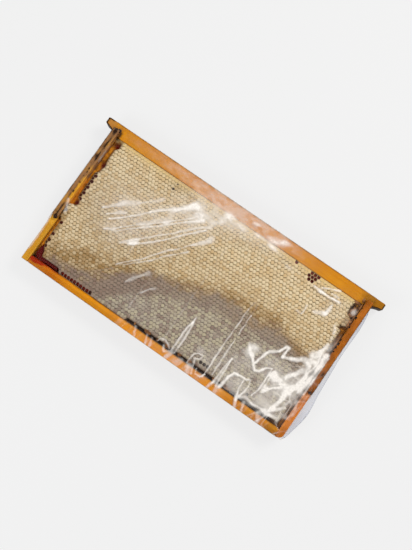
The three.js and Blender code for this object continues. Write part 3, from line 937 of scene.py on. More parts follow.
# How far in from the left, right, top and lower edge a cell's middle has to lie.
ROOM = (1.3, 1.5, 1.4, 1.5)

# The rim's profile from the front to the back: a share of the half depth there,
# and how far each point has moved out to the wood.
RIM_PROFILE = ((0.93, 0.03), (0.82, 0.09), (0.68, 0.22), (0.6, 0.5), (0.58, 0.8), (0.56, 1.0),
               (-0.56, 1.0), (-0.58, 0.8), (-0.6, 0.5), (-0.68, 0.22), (-0.82, 0.09), (-0.93, 0.03))


def make_comb(settings):
    """The comb as one closed body: a capped front, a plainer capped back, and a
    rim that drops steeply from each face and widens to meet the wood at the
    middle plane."""
    cells, keyed, ring = lattice(settings.pitch / MM, settings.row / MM)
    left, right, top, foot = insets(*cells)
    kept = (left > ROOM[0]) & (right > ROOM[1]) & (top > ROOM[2]) & (foot > ROOM[3])
    face = lambda plain, seed: cap_face(cells, keyed, ring, kept, plain, seed, settings)
    x, drop, height, triangles, fields, rim = face(False, 51)
    back_x, back_drop, back_height, back_triangles, back_fields, _ = face(True, 77)
    base = len(x)
    points = [stack(x, TOP_EDGE - drop, MID + height), stack(back_x, TOP_EDGE - back_drop, MID - back_height)]
    faces = base + len(back_x)
    rim_points, rim_at = np.unique(rim, return_inverse=True)
    rim_at = rim_at.reshape(-1, 2)
    rim_x, rim_drop = x[rim_points], drop[rim_points]
    wall_x, wall_drop = wall_place(rim_x, rim_drop)
    wobble = 0.6 * drift(rim_x * 3, rim_drop * 3, 9, 9, 13)
    loops = [rim_points]
    for depth, pull in RIM_PROFILE:
        edge_height = (height if depth >= 0 else back_height)[rim_points]
        points.append(stack(rim_x + (wall_x - rim_x) * pull,
                            TOP_EDGE - (rim_drop + (wall_drop - rim_drop) * pull),
                            MID + depth * edge_height + wobble))
        loops.append(faces + (len(loops) - 1) * len(rim_points) + np.arange(len(rim_points)))
    loops.append(base + rim_points)
    start, end = rim_at.T
    quads = [stack(lower[start], lower[end], upper[end], upper[start])
             for upper, lower in zip(loops[:-1], loops[1:])]
    points = np.concatenate(points)
    pulled = np.repeat([pull for _, pull in RIM_PROFILE], len(rim_points))
    all_fields = {name: np.concatenate([fields[name], back_fields[name], np.full(len(pulled), rest)])
                  for name, rest in (("groove", 0.0), ("tone", 0.5), ("hollow", 0.0))}
    all_fields.update(stains_shade_and_light(points, pulled))
    triangles = np.concatenate([triangles, back_triangles[:, ::-1] + base])
    shape = points, np.concatenate(quads), triangles
    return new_piece("capped_comb", shape, all_fields, ["comb"])


def comb_finish(settings):
    """Beeswax caps, each of its own tone, with painted shade in the grooves, brown along the belt and grey
    where honey stands behind; amber with painted light and dark honey with painted shade in the hollows."""
    graph = Graph("wax_caps")
    speck = graph.noise(1.6, 3)
    cloud = graph.noise(13.0, 3)
    tone = graph.field("tone")
    groove = graph.field("groove")
    wet = graph.field("wet")
    hollow = graph.field("hollow")
    deep = graph.field("deep")
    red = graph.field("red")
    mottle = 1.4 * (speck - 0.5) + 1.1 * (tone - 0.5) + 0.9 * (cloud - 0.5)
    wax = graph.blend((0.3 + mottle).clamped(), settings.cap, settings.tan)
    wax = graph.blend((graph.field("brown") * (0.8 + 0.6 * mottle)).clamped(), wax, settings.stain)
    finer = 1.9 * (speck - 0.5) + 0.8 * (tone - 0.5) + 0.5 * (cloud - 0.5)
    grey = graph.blend((0.6 + 1.3 * finer).clamped(), settings.lilac, settings.wet)
    grey = graph.blend((tone * 0.4 + speck).between(0.6, 1.0) * 0.5, grey, settings.olive)
    wax = graph.blend(wet, wax, grey)
    wax = graph.blend((graph.field("border") * (0.8 + 0.7 * mottle)).clamped(), wax, settings.lilac)
    # Painted light: the lighter yellow ledge along the top bar.
    wax = graph.blend(graph.field("ledge") * 0.8, wax, settings.ledge)
    # Painted shade: grooves darkened towards the groove colours.
    dark = (groove * (0.75 + 1.5 * speck)).clamped()
    wax = graph.blend(dark, wax, graph.blend(wet, settings.groove, settings.wet_groove))
    # Gap floor: dark deep colour, or amber with painted light where light glows through honey.
    floor = graph.blend(graph.field("amber"), settings.deep, settings.amber)
    floor = graph.blend(graph.noise(5.0, 3).between(0.42, 0.7) * 0.6, floor, settings.deep)
    # Painted shade: the rim deep in the gaps takes the dark floor colour.
    wax = graph.blend(deep, wax, floor)
    # Open cells: red honey, and elsewhere the deep colour, partly dark honey and partly painted shade.
    honey = graph.blend((red + 0.5 * graph.field("amber")).clamped(), settings.deep, settings.ruby)
    filled = hollow.between(0.3, 0.8)
    wax = graph.blend(filled, wax, honey)
    wax = graph.blend((deep * red).clamped(), wax, settings.honey)
    rough = 0.6 + 0.15 * speck - 0.4 * filled - 0.3 * deep
    pores = graph.relief(speck + 0.6 * graph.noise(0.7, 2), 0.12, 0.6)
    return graph.finish(graph.surface(wax, rough, 0.12, pores))


# ---- Honey and crumbs ------------------------------------------------------


def make_pool():
    """Honey in the lower left corner: a soft ridge with an elliptical section,
    carried down beside the comb, round the corner and along the bottom bar."""
    turn = np.linspace(0, np.pi / 2, 9)[1:]
    down = np.linspace((-202.2, 192.0), (-200.4, 212.0), 20)
    corner = np.array([-200.4, 212.0]) + 5.4 * stack(1 - np.cos(turn), np.sin(turn))
    along = np.linspace((-194.4, 217.4), (-163.5, 217.4), 40)
    path = np.concatenate([down, corner, along])
    tangent = np.gradient(path, axis=0)
    tangent /= np.linalg.norm(tangent, axis=1, keepdims=True)
    across = stack(-tangent[:, 1], tangent[:, 0])
    share = np.linspace(0, 1, len(path))
    ends = np.sqrt(np.clip(np.minimum(share / 0.2, (1 - share) / 0.08), 0.02, 1))
    wide = ends * (3.4 + 3.6 * rise(share / 0.4) - 3.0 * rise((share - 0.46) / 0.14))
    angle = np.linspace(0, 2 * np.pi, 24, endpoint=False)
    side = np.sign(np.cos(angle)) * np.abs(np.cos(angle)) ** 0.7
    lift = np.sin(angle)
    shown = path[:, None] + across[:, None] * (wide[:, None] * side)[..., None]
    z = MID + 1.5 + ends[:, None] * np.where(lift > 0, 10.0 * np.abs(lift) ** 0.6, 7.5 * lift)
    places = stack(shown[..., 0], TOP_EDGE - shown[..., 1], z)
    places[..., 2] += 0.25 * noise(places, (6, 6, 6), 71)
    return new_piece("honey_pool", closed_tube(places), {}, ["pooled_honey"])


def honey_finish(settings):
    """Thick dark honey: nearly black red, with a wet gloss."""
    graph = Graph("dark_honey")
    cloud = graph.noise(7.0, 2)
    tint = graph.blend(cloud.between(0.35, 0.7), settings.honey, linear(82, 8, 4))
    return graph.finish(graph.surface(tint, 0.16 + 0.08 * cloud, 0.14))


def lumps(name, specs, seed):
    """Small uneven blobs: spheres stretched to each blob's size and dented by
    noise. A spec is x, drop, height above the middle and three radii."""
    specs = np.asarray(specs, float)
    turns, rings = 18, 11
    polar = np.linspace(0, np.pi, rings + 2)[1:-1]
    angle = np.linspace(0, 2 * np.pi, turns, endpoint=False)
    unit = stack(np.outer(np.sin(polar), np.cos(angle)), np.outer(np.sin(polar), np.sin(angle)),
                 np.repeat(np.cos(polar)[:, None], turns, 1)).reshape(-1, 3)
    unit = np.concatenate([unit, [[0, 0, 1.0]], [[0, 0, -1.0]]])
    centre = stack(specs[:, 0], TOP_EDGE - specs[:, 1], MID + specs[:, 2])[:, None]
    dent = 1 + 0.32 * noise(unit * 1.4 + centre * 3.7, (1, 1, 1), seed, 2)
    points = centre + unit * specs[:, None, 3:6] * dent[..., None]
    step = (np.arange(len(specs)) * len(unit))[:, None, None]
    quads, triangles = ((faces[None, :, ::-1] + step).reshape(-1, faces.shape[1])
                        for faces in tube_faces(rings, turns))
    return new_piece(name, (points.reshape(-1, 3), quads, triangles), {}, [])


def glue_specs():
    """Blobs of dark bee glue: knots at the frame's joints and a scatter of small
    ones down the inner edge of each shoulder."""
    random = np.random.default_rng(8)
    face = HALF_SHOULDER
    specs = [(-212.6, 13.5, face - 1.2, 3.4, 5.0, 1.7), (-208.8, 9.5, face - 3.4, 3.0, 2.6, 2.4),
             (-210.6, 19.5, face - 1.2, 1.8, 2.2, 1.2), (-211.2, 158.5, face - 1.6, 3.3, 3.6, 1.8),
             (213.4, 158.0, face - 1.6, 1.8, 2.6, 1.6), (197.2, 29.0, HALF_BAR + 1.4, 1.9, 2.6, 1.6),
             (-98.5, 34.8, 17.6, 1.4, 1.7, 0.6), (-97.2, 25.5, 17.6, 1.0, 1.2, 0.6)]
    for side, nearest, farthest in ((-1, 5.4, 7.0), (1, 8.0, 9.2)):
        for _ in range(20):
            down = random.uniform(16, 156)
            size = random.uniform(0.6, 1.5)
            x = side * (OUTER - random.uniform(nearest, farthest))
            height = face - size * 0.7
            specs.append((x, down, height, size, size * random.uniform(1.2, 3.0), size))
            specs.append((x, random.uniform(16, 156), -height, size, size * random.uniform(1.2, 2.6), size))
    return specs


def web_specs():
    """Lumps of brown wax that bridge the gaps: beside the right side bar and
    between the comb's foot and the bottom bar."""
    beside = [(203.6, 47.0, 12.5, 4.4, 4.2, 3.0), (205.0, 53.5, 12.0, 3.6, 3.4, 3.2),
              (200.5, 40.5, 11.5, 3.8, 3.0, 3.4), (206.5, 74.0, 11.0, 2.2, 7.0, 3.2),
              (205.8, 92.0, 10.5, 2.4, 5.6, 3.6), (198.5, 20.5, 13.0, 5.0, 2.4, 2.6)]
    lower = [(-34.5, 12.0, 1.4, 2.4), (-14.0, 13.0, 5.6, 2.8), (4.0, 11.5, 1.9, 2.6), (20.5, 12.0, 4.4, 2.6),
             (40.0, 11.6, 3.2, 2.6), (57.0, 12.0, 3.8, 2.6), (98.0, 11.6, 3.4, 2.6), (118.0, 12.0, 7.0, 2.8)]
    lower = [(x, 216.3, height, wide, 4.0 if x == -14.0 else 3.8, deep) for x, height, wide, deep in lower]
    corner = [(205.0, 12.5, HALF_BAR - 0.6, 2.2, 3.6, 1.4), (200.4, 21.0, HALF_BAR, 4.6, 1.6, 1.8),
              (203.5, 37.0, 11.0, 3.6, 4.6, 3.0), (205.8, 27.0, 10.0, 2.2, 6.0, 3.0),
              (198.2, 33.5, 10.5, 2.0, 4.4, 2.4), (206.4, 27.0, 13.0, 1.4, 8.0, 3.0),
              (206.4, 43.0, 13.5, 1.4, 7.0, 3.0), (206.3, 84.0, 13.0, 1.4, 8.0, 3.0)]
    return beside + lower + corner


def simple_finish(name, light, dark, size, roughness):
    """One material in two tones that drift into each other, with a fine relief."""
    graph = Graph(name)
    cloud = graph.noise(size, 3)
    fine = graph.noise(size / 6, 3)
    tint = graph.blend((cloud * 0.7 + fine * 0.3).between(0.35, 0.65), dark, light)
    return graph.finish(graph.surface(tint, roughness + 0.15 * fine, 0.15, graph.relief(fine, 0.2, 0.7)))


# ---- Film ------------------------------------------------------------------

# How far the film stands out past the bars' edges.
SLACK = 0.4

# How its section closes beside the bundle: the share of its height that is left,
# and how far out that is.
CLOSING = ((0.985, 0.22), (0.9, 0.35), (0.7, 0.42), (0.42, 0.46), (0.18, 0.5), (0.012, 0.5))

# Folds of the film: strength of their milky haze and painted highlight, half width at the start and at the
# end, and the places that the fold runs through, each as x and drop.
FOLDS = (
    (0.34, 1.2, 3.4, ((-163, 111), (-150, 98), (-138, 86), (-126, 78))),
    (0.18, 1.2, 2.0, ((-128, 80), (-113, 66), (-100, 54))),
    (0.36, 1.0, 1.6, ((-154, 116), (-143, 106), (-132, 99))),
    (0.40, 0.8, 1.1, ((-147, 119.5), (-130, 105), (-115, 90), (-105, 79))),
    (0.42, 1.2, 3.6, ((-106, 80), (-92, 67), (-80, 57), (-70, 50), (-58, 36))),
    (0.42, 2.0, 1.2, ((-144, 134.5), (-135, 129), (-127, 120))),
    (0.30, 0.9, 1.2, ((-128, 121), (-112, 106), (-95, 93), (-82, 80), (-66, 66), (-52, 53))),
    (0.34, 0.8, 1.4,
     ((-130, 129), (-118, 117), (-104, 105), (-88, 92), (-76, 80), (-62, 68), (-48, 56), (-38, 47))),
    (0.18, 1.2, 3.2, ((-112, 104), (-92, 86), (-78, 72))),
    (0.44, 1.4, 3.0, ((-115, 138.5), (-107, 131), (-98, 122))),
    (0.34, 0.9, 1.2, ((-100, 122), (-92, 115), (-78, 100), (-62, 85), (-48, 70), (-35, 57), (-24, 50))),
    (0.42, 1.0, 1.2, ((-106, 134), (-90, 122), (-75, 108), (-62, 95), (-50, 80), (-37, 67), (-28, 57))),
    (0.36, 0.8, 1.1,
     ((-103, 166), (-90, 152), (-78, 140), (-66, 124), (-55, 110), (-45, 101), (-38, 92), (-28, 80))),
    (0.38, 1.3, 3.2, ((-32, 85), (-22, 74), (-12, 62))),
    (0.32, 0.8, 1.0, ((-94, 161), (-80, 147), (-66, 134), (-55, 120), (-44, 109), (-31, 95))),
    (0.12, 1.2, 1.2, ((-121, 190), (-111, 180), (-103, 172))),
    (0.28, 1.0, 3.4, ((-78, 178), (-70, 165), (-58, 151))),
    (0.26, 0.9, 1.8, ((-52, 179), (-45, 168), (-39, 162))),
    (0.14, 0.8, 0.8, ((-52.5, 142), (-52.5, 156))),
    (0.13, 0.7, 0.7, ((9.5, 62), (9.8, 216))),
    (0.12, 0.7, 0.7, ((-97, 92), (-97, 164))),
    (0.12, 0.7, 0.7, ((-54, 168), (-54, 208))),
    (0.42, 1.0, 0.8, ((29.5, 171), (27.3, 181), (27.4, 219))),
    (0.38, 1.0, 0.8, ((31.2, 171), (33, 184), (33.4, 219))),
    (0.46, 0.7, 1.3, ((30.3, 163), (30.3, 172))),
    (0.10, 1.5, 2.0, ((30.3, 174), (30.3, 216))),
    (0.16, 1.2, 1.0, ((84, 100), (82.4, 112))),
    (0.42, 0.8, 0.8, ((82.4, 112), (81.4, 171), (83.4, 224))),
    (0.16, 1.2, 1.0, ((89, 100), (90, 118))),
    (0.36, 0.8, 0.8, ((90, 118), (90.5, 171), (91.8, 214))),
    (0.42, 0.6, 0.8, ((101.7, 180), (99.6, 195), (98.6, 224))),
    (0.42, 0.6, 0.8, ((101.7, 180), (103, 195), (104.2, 224))),
    (0.22, 0.8, 1.8, ((101.7, 186), (101.4, 220))),
    (0.36, 0.9, 0.9, ((4.8, 219), (7.2, 213.4), (13.4, 211.4), (19.7, 215), (24, 218.4))),
    (0.46, 0.9, 0.9,
     ((54.8, 220), (55.6, 205), (60.3, 201), (67, 199.6), (67.3, 205.6), (60.6, 209), (64, 218), (68, 229))),
    (0.50, 1.0, 1.0, ((69.7, 219), (72.8, 226), (80.6, 226), (84, 219))),
    (0.56, 1.4, 1.3, ((108.8, 222), (112, 203), (115, 195), (127, 193.2), (135, 193))),
    (0.54, 1.4, 1.4, ((131.4, 197), (131.4, 209), (137, 223))),
    (0.56, 1.1, 1.1, ((135.3, 191), (139, 190), (141.2, 199), (140, 209), (138, 217))),
    (0.30, 1.2, 1.4, ((109, 150), (117, 160), (124, 165), (130, 171))),
    (0.70, 1.5, 1.6,
     ((130.6, 167), (136, 148), (138.4, 143.4), (149, 136.4), (154, 125), (157, 125), (157, 139.6))),
    (0.66, 1.6, 2.6, ((157, 140), (166, 135.6), (178, 130))),
    (0.56, 1.5, 1.3, ((121, 161), (130.6, 171), (135.3, 176), (141.6, 173.6), (147, 165), (154, 161))),
    (0.50, 1.0, 1.1, ((154.2, 161), (154.8, 195), (151, 206))),
    (0.34, 0.9, 0.9, ((158.4, 162), (158.4, 192))),
    (0.54, 1.2, 1.4, ((160, 195), (163.4, 188), (169.7, 182), (177.5, 174.4))),
    (0.40, 1.6, 1.6, ((160.6, 186), (165, 188.4), (162, 192))),
    (0.56, 3.0, 3.0, ((176, 159), (183, 150), (188.4, 141))),
    (0.50, 2.2, 2.6, ((186, 190), (191.6, 170), (197.8, 152))),
    (0.46, 2.2, 2.0, ((183.8, 205), (187, 188), (185.3, 171))),
    (0.36, 1.4, 1.6, ((182, 209), (191, 201), (198, 195))),
    (0.54, 1.3, 5.0, ((197.4, 91), (196.6, 97), (194, 107), (189, 118))),
    (0.60, 3.5, 4.5, ((181, 127), (190, 122), (199, 121))),
    (0.52, 2.4, 2.8, ((205.0, 104), (204.5, 130), (202.5, 150), (200, 168))),
    (0.50, 0.9, 0.9, ((209.2, 106), (208.4, 135), (208, 165))),
    (0.40, 0.8, 1.0, ((193, 104), (199, 112), (200, 124), (197, 136))),
    (0.50, 2.6, 2.6, ((193, 130), (197, 143), (193, 158))),
    (0.66, 5.2, 4.4, ((160.5, 167), (172, 167))),
    (0.40, 3.0, 3.0, ((174, 172), (186, 170), (194, 164))),
    (0.24, 1.4, 1.6, ((193, 176), (197.5, 183), (194.5, 192))),
    (0.48, 1.8, 1.8, ((140, 217), (146.5, 213), (159, 215), (170, 213.4), (181, 215), (193, 213))),
    (0.20, 2.6, 2.6, ((176, 213), (194, 212))),
    (0.72, 1.2, 1.6, ((138, 35.4), (150, 36.8), (163, 37), (177, 34.4))),
    (0.40, 1.4, 1.2, ((148, 31.5), (159, 26), (171, 21))),
    (0.34, 1.4, 1.4, ((163, 31), (174, 30))),
    (0.54, 1.1, 2.4, ((172.6, 43), (172.8, 50), (172, 58))),
    (0.44, 3.2, 1.6, ((171, 58.5), (166, 61), (156, 65))),
    (0.46, 1.2, 1.3, ((144.6, 64), (145, 76))),
    (0.28, 1.6, 2.2, ((143, 77), (137, 76))),
    (0.50, 1.4, 2.0, ((191, 65), (194.7, 70), (195.6, 74))),
    (0.36, 1.2, 1.6, ((196.6, 78), (198, 84))),
    (0.30, 1.2, 1.4, ((-11.5, 220), (-7.5, 231))),
    (0.24, 1.6, 1.6, ((-31, 220), (-25.5, 232))),
    (0.24, 1.2, 1.2, ((-4, 220), (-0.5, 232))),
    (0.30, 1.4, 1.8, ((15, 219), (20, 226), (26, 221))),
    (0.30, 2.4, 2.0, ((30, 220), (25, 232))),
    (0.26, 3.2, 2.6, ((47, 221), (40, 230))),
    (0.30, 3.6, 3.2, ((60, 222), (62, 230))),
    (0.34, 1.4, 1.4, ((99, 220), (94.5, 232))),
    (0.28, 1.6, 1.6, ((106, 221), (107, 232))),
    (0.40, 1.4, 1.4, ((136, 220), (141, 232))),
    (0.26, 1.4, 1.4, ((148, 220), (152, 232))),
    (0.26, 2.6, 2.2, ((172, 221), (177, 231))),
    (0.36, 1.4, 1.6, ((213.4, 164), (214.8, 178), (212.4, 196))),
    (0.26, 1.6, 1.6, ((209.5, 186), (210.8, 204))),
    (0.16, 0.9, 0.9, ((-207.4, 36), (-206.8, 62))),
    (0.30, 0.8, 0.9, ((-216.4, 170), (-216.2, 196), (-216.4, 216))),
    (0.4, 1.8, 1.8, ((-210.0, 129.5), (-206.8, 136), (-203.6, 145))),
)

# Soft patches of painted glare: strength of the painted glare, middle, radii and lean in degrees.
PATCHES = (
    (0.32, (-66, 46), (10, 5), -46), (0.38, (-45, 46), (9, 9), -40), (0.24, (-56, 36), (8, 9), -40),
    (0.20, (-72, 56), (10, 5), -45), (0.24, (-37, 39), (9, 5), -30), (0.12, (-60, 58), (36, 18), -42),
    (0.26, (-26, 44), (5, 5), 0), (0.50, (-11, 23), (9, 5.4), 0), (0.32, (-18, 35), (5, 8), 30),
    (0.34, (3, 28), (9, 5), -30), (0.22, (14, 27), (6, 4), -40), (0.50, (40, 21.5), (9, 2.6), 0),
    (0.50, (61, 24), (8, 3), 8), (0.20, (94, 34), (7, 2.4), 0), (0.19, (-85, 84), (78, 44), -42),
    (0.10, (-30, 40), (50, 26), 0), (0.66, (118, 155), (7, 10), 8), (0.22, (113, 163), (6, 4), 0),
    (0.10, (150, 150), (34, 30), 0), (0.16, (182, 178), (22, 22), 0), (0.14, (165, 207), (28, 8), 0),
    (0.16, (60, 196), (5, 5), 0), (0.14, (124, 206), (14, 14), 0),
    (0.12, (176, 45), (24, 24), 0), (0.42, (202, 34.5), (3.8, 5.0), 0),
    (0.12, (200, 52), (5, 6), 0), (0.20, (203, 87), (5, 13), 0), (0.20, (199, 99), (5, 8), 0),
    (0.29, (14, 9), (92, 30), 0), (0.34, (25, 9), (5.4, 2.2), -10), (0.42, (73, 8), (8, 3.4), -10),
    (0.58, (58, 14.5), (12, 4.4), -14), (0.17, (-118, 9), (74, 9), 0), (0.14, (-146, 100), (44, 52), -20),
    (0.16, (150, 152), (18, 10), 0), (0.06, (111, 172), (16, 16), 0), (0.10, (74, 200), (14, 10), 0),
    (0.08, (60, 227), (90, 9), 0), (0.08, (150, 227), (60, 9), 0), (0.28, (195, 118), (11, 20), 12),
    (0.30, (190, 160), (16, 20), 0), (0.35, (166, 168), (12, 8), 0), (0.26, (203, 140), (7, 30), 0),
    (0.30, (211, 178), (3.4, 14), 0), (0.08, (201, 183), (5, 12), 0),
    (0.20, (138, 192), (60, 34), 0),
    (0.10, (-45, 200), (40, 24), 0), (0.08, (40, 180), (60, 40), 0),
)


def distance_along(x, drop, run):
    """Distance to a run of straight pieces, and how far along it that nearest
    place lies, from 0 to 1."""
    run = np.array(run, float)
    sizes = np.hypot(*np.diff(run, axis=0).T)
    nearest = np.full(x.shape, 1e9)
    share = np.zeros(x.shape)
    passed = 0.0
    for start, end, size in zip(run[:-1], run[1:], sizes):
        step = (end - start) / size
        along = np.clip((x - start[0]) * step[0] + (drop - start[1]) * step[1], 0, size)
        away = np.hypot(x - start[0] - step[0] * along, drop - start[1] - step[1] * along)
        closer = away < nearest
        nearest = np.where(closer, away, nearest)
        share = np.where(closer, (passed + along) / sizes.sum(), share)
        passed += size
    return nearest, share


def fold_marks(x, drop):
    """Lift and painted milky haze and highlight of the folds: a crest along each run, broken up a little."""
    lift = np.zeros(x.shape)
    haze = np.zeros(x.shape)
    shifted_x = x + 0.9 * drift(x, drop, 7, 7, 63, 3)
    shifted_drop = drop + 0.9 * drift(x, drop, 7, 7, 65, 3)
    breaks = 0.68 + 0.6 * rise(0.5 + 0.8 * drift(x, drop, 8, 8, 67, 2))
    swell = 1.2 + 0.9 * drift(x, drop, 10, 10, 69, 2)
    reach = 14
    for strength, wide_start, wide_end, run in FOLDS:
        strength = strength * 1.2
        low, high = np.min(run, axis=0) - reach, np.max(run, axis=0) + reach
        near = (x > low[0]) & (x < high[0]) & (drop > low[1]) & (drop < high[1])
        away, share = distance_along(shifted_x[near], shifted_drop[near], run)
        wide = (wide_start + (wide_end - wide_start) * share) * swell[near]
        crest = np.exp(-((away / wide) ** 2) ** (1 + 0.15 * wide))
        haze[near] += strength * breaks[near] * crest
        lift[near] = np.maximum(lift[near], crest * np.clip(strength * 2.4 / wide, 0, 1))
    return lift, haze


def patch_glare(x, drop):
    """Painted glare of the soft patches: bells with a lean, broken up by crumpling."""
    total = np.zeros(x.shape)
    broken = 0.72 + 0.56 * rise(0.5 + 0.9 * drift(x, drop, 8, 6, 73, 3))
    for strength, middle, radii, lean in PATCHES:
        turn = math.radians(lean)
        rel_x, rel_drop = x - middle[0], drop - middle[1]
        along = rel_x * math.cos(turn) + rel_drop * math.sin(turn)
        aside = -rel_x * math.sin(turn) + rel_drop * math.cos(turn)
        total = total + strength * np.exp(-((along / radii[0]) ** 2 + (aside / radii[1]) ** 2) ** 1.4)
    hollow = band(drop, 215.6, 219.4, 1) * band(x, -215, 110, 3) + band(x, -204, -198, 1.5)
    hollow = np.maximum(hollow, 0.9 * rise((drop - 219.5) / 1.5) * rise((x - 84) / 10))
    return total * broken * (1 - 0.85 * hollow)


def crumple_marks(x, drop):
    """Lift and painted milky haze and glints of the crumpled lower right and of the small gathers that the
    film makes where it goes over the bottom bar."""
    strong = rise((x - 158 + 0.25 * (drop - 150)) / 40) * rise((drop - 100) / 40)
    leaning = crests(x + 0.7 * drop, drop * 0.5, 15, 13, 81)
    creases = np.maximum(leaning, 0.8 * crests(x, drop, 9, 12, 83))
    gathers = crests(x + 0.35 * (drop - 220), drop * 0.15, 7.5, 20, 87)
    foot = rise((drop - 220) / 4) * band(x, -62, 196, 24)
    lift = np.maximum(strong * creases, foot * gathers)
    haze = 0.42 * strong * creases + 0.16 * foot * gathers
    return lift, haze


def film_height(x, drop):
    """Height of smooth film over the bundle: a level crown held up by the comb
    and the shoulders, sloping straight down to the outer edges of the slimmer
    bars. The lowest of the planes counts, with softened meetings."""
    crown = HALF_SHOULDER + 0.2
    low = HALF_BAR + 0.25
    beside = rise((np.abs(x) - 186) / 18)
    top_run = 24 - 16 * beside
    planes = [
        np.full_like(x, crown),
        low + (crown - low) * (drop + SLACK) / top_run,
        low + (crown - low) * (HEIGHT + SLACK - drop) / 23,
        low + (crown - low) * ((OUTER + SLACK - np.abs(x)) / 17 + 4 * rise((172 - drop) / 18)),
    ]
    sharpness = 1.6
    total = sum(np.exp(-sharpness * (plane - crown)) for plane in planes)
    return crown - np.log(total) / sharpness + 0.25


def fin_reach(drop):
    """How far the loose edge stands out on the right: a wavy strip that swells
    above the foot and runs out at both ends."""
    first, last = 20.0, 230.0
    along = np.clip((drop - first) / (last - first), 0, 1)
    ends = np.clip(np.sin(np.pi * along), 0, 1) ** 0.25
    return ends * (6.4 + np.cos((drop - 40) / 16) + 7.9 * bump(drop, 188, 30))


def film_edges(y, z, drops):
    """The film's sections beside the bundle, left and right, each as x, y, z and painted milky haze and
    glare. Both sides flatten, and the right one runs on as the loose double edge."""
    limit = OUTER + SLACK
    still = np.zeros(len(drops))
    left, right = ([(side * (limit + out) + still, y[end], z[end] * flat, still) for flat, out in CLOSING]
                   for side, end in ((-1, 0), (1, -1)))
    flat, out = CLOSING[-1]
    reach = fin_reach(drops)
    ripple = drift(still + 3.0, drops, 5, 16, 97, 2)
    for share in np.linspace(0, 1, 9)[1:]:
        height = z[-1] * flat + share * (1.6 * ripple - 1.0)
        crease = 0.10 + 0.25 * rise((share - 0.8) / 0.2) * rise(reach / 3)
        crease = crease + 0.26 * (1 - rise((drops - 34) / 40)) + 0.16 * bump(drops, 205, 22)
        right.append((limit + out + reach * share, y[-1], height, crease))
    return left[::-1], right


def film_end(ring, front_count, sides, skip):
    """Faces that close one ring of the film. The front has skip points for each
    one at the back, and each edge has a few more that go round it."""
    back_start, foot_side = front_count + sides, len(ring) - sides
    fronts, backs = ring[:front_count], ring[back_start:foot_side][::-1]
    upper, lower = ring[front_count:back_start + 1], ring[foot_side - 1:]
    return np.concatenate([
        stack(fronts[:-1], fronts[1:], np.repeat(backs[:-1], skip)),
        stack(fronts[skip::skip], backs[1:], backs[:-1]),
        stack(np.full(sides, fronts[-1]), upper[:-1], upper[1:]),
        stack(np.full(sides, fronts[0]), lower[:-1], lower[1:]),
    ])


def make_film(settings):
    """The film as one closed skin: a section round the bundle carried along x.
    Its front takes the folds; the section then flattens to close the left end,
    and on the right runs on into the loose edge."""
    step = settings.step / MM
    skip, sides = 8, 6
    front_count = skip * int((HEIGHT + 2 * SLACK) / step / skip) + 1
    drop_front = np.linspace(HEIGHT + SLACK, -SLACK, front_count)
    drop_back = drop_front[::-1][::skip]
    corner = np.linspace(0, 1, sides + 2)[1:-1]
    drops = np.concatenate([drop_front, np.full(sides, -0.5), drop_back, np.full(sides, HEIGHT + 0.5)])
    along = np.linspace(-OUTER - SLACK, OUTER + SLACK, int((2 * OUTER + 2 * SLACK) / step))
    x, drop = np.meshgrid(along, drops, indexing="ij")
    smooth = film_height(x, drop)
    lifts, hazes_and_glare = zip(fold_marks(x, drop), crumple_marks(x, drop))
    is_front = np.zeros(len(drops))
    is_front[:front_count] = 1
    edge_fade = rise((OUTER - np.abs(x)) / 4) * rise((HEIGHT - 0.5 - drop) / 2) * rise(drop / 2)
    lift = np.maximum.reduce(lifts) * edge_fade
    # Painted highlights, glints and glare: the milky haze of folds, crumples and patches.
    haze = (sum(hazes_and_glare) + patch_glare(x, drop)) * is_front * (1 - 0.6 * rise((x - 207.5) / 3))
    waves = 0.22 * drift(x, drop, 34, 26, 91, 2) + 0.10 * drift(x, drop, 9, 9, 93, 2)
    front = smooth + (settings.fold / MM * lift + waves * edge_fade) * is_front - 0.25
    back = -(smooth + 0.55)
    back_start = front_count + sides
    foot_side = back_start + len(drop_back)
    z = np.where(is_front > 0, front, back)
    y = TOP_EDGE - drop
    turns = ((slice(front_count, back_start), front_count - 1, back_start, 0.25),
             (slice(foot_side, None), 0, foot_side - 1, -0.25))
    for turn, front_at, back_at, bulge in turns:
        share = corner if bulge > 0 else 1 - corner
        z[:, turn] = front[:, front_at, None] * (1 - share) + back[:, back_at, None] * share
        y[:, turn] += bulge * np.sin(np.pi * corner)

    left, right = film_edges(y, z, drops)
    xs, ys, zs, hazes_and_glare = (np.concatenate([before, body, after])
                         for before, body, after in zip(zip(*left), (x, y, z, haze), zip(*right)))
    points = stack(xs, ys, MID + zs)

    stations, around = xs.shape
    at = np.arange(stations * around).reshape(stations, around)
    turned = np.roll(at, -1, axis=1)
    quads = stack(at[:-1], at[1:], turned[1:], turned[:-1]).reshape(-1, 4)
    closers = [film_end(at[0], front_count, sides, skip), film_end(at[-1], front_count, sides, skip)[:, ::-1]]
    loose = rise((xs - OUTER - 0.95) / 0.4)
    fields = {"haze": np.clip(hazes_and_glare, 0, 1), "loose": loose}
    shape = points.reshape(-1, 3), quads, np.concatenate(closers)
    return new_piece("film_skin", shape, fields, ["film_wrap"])


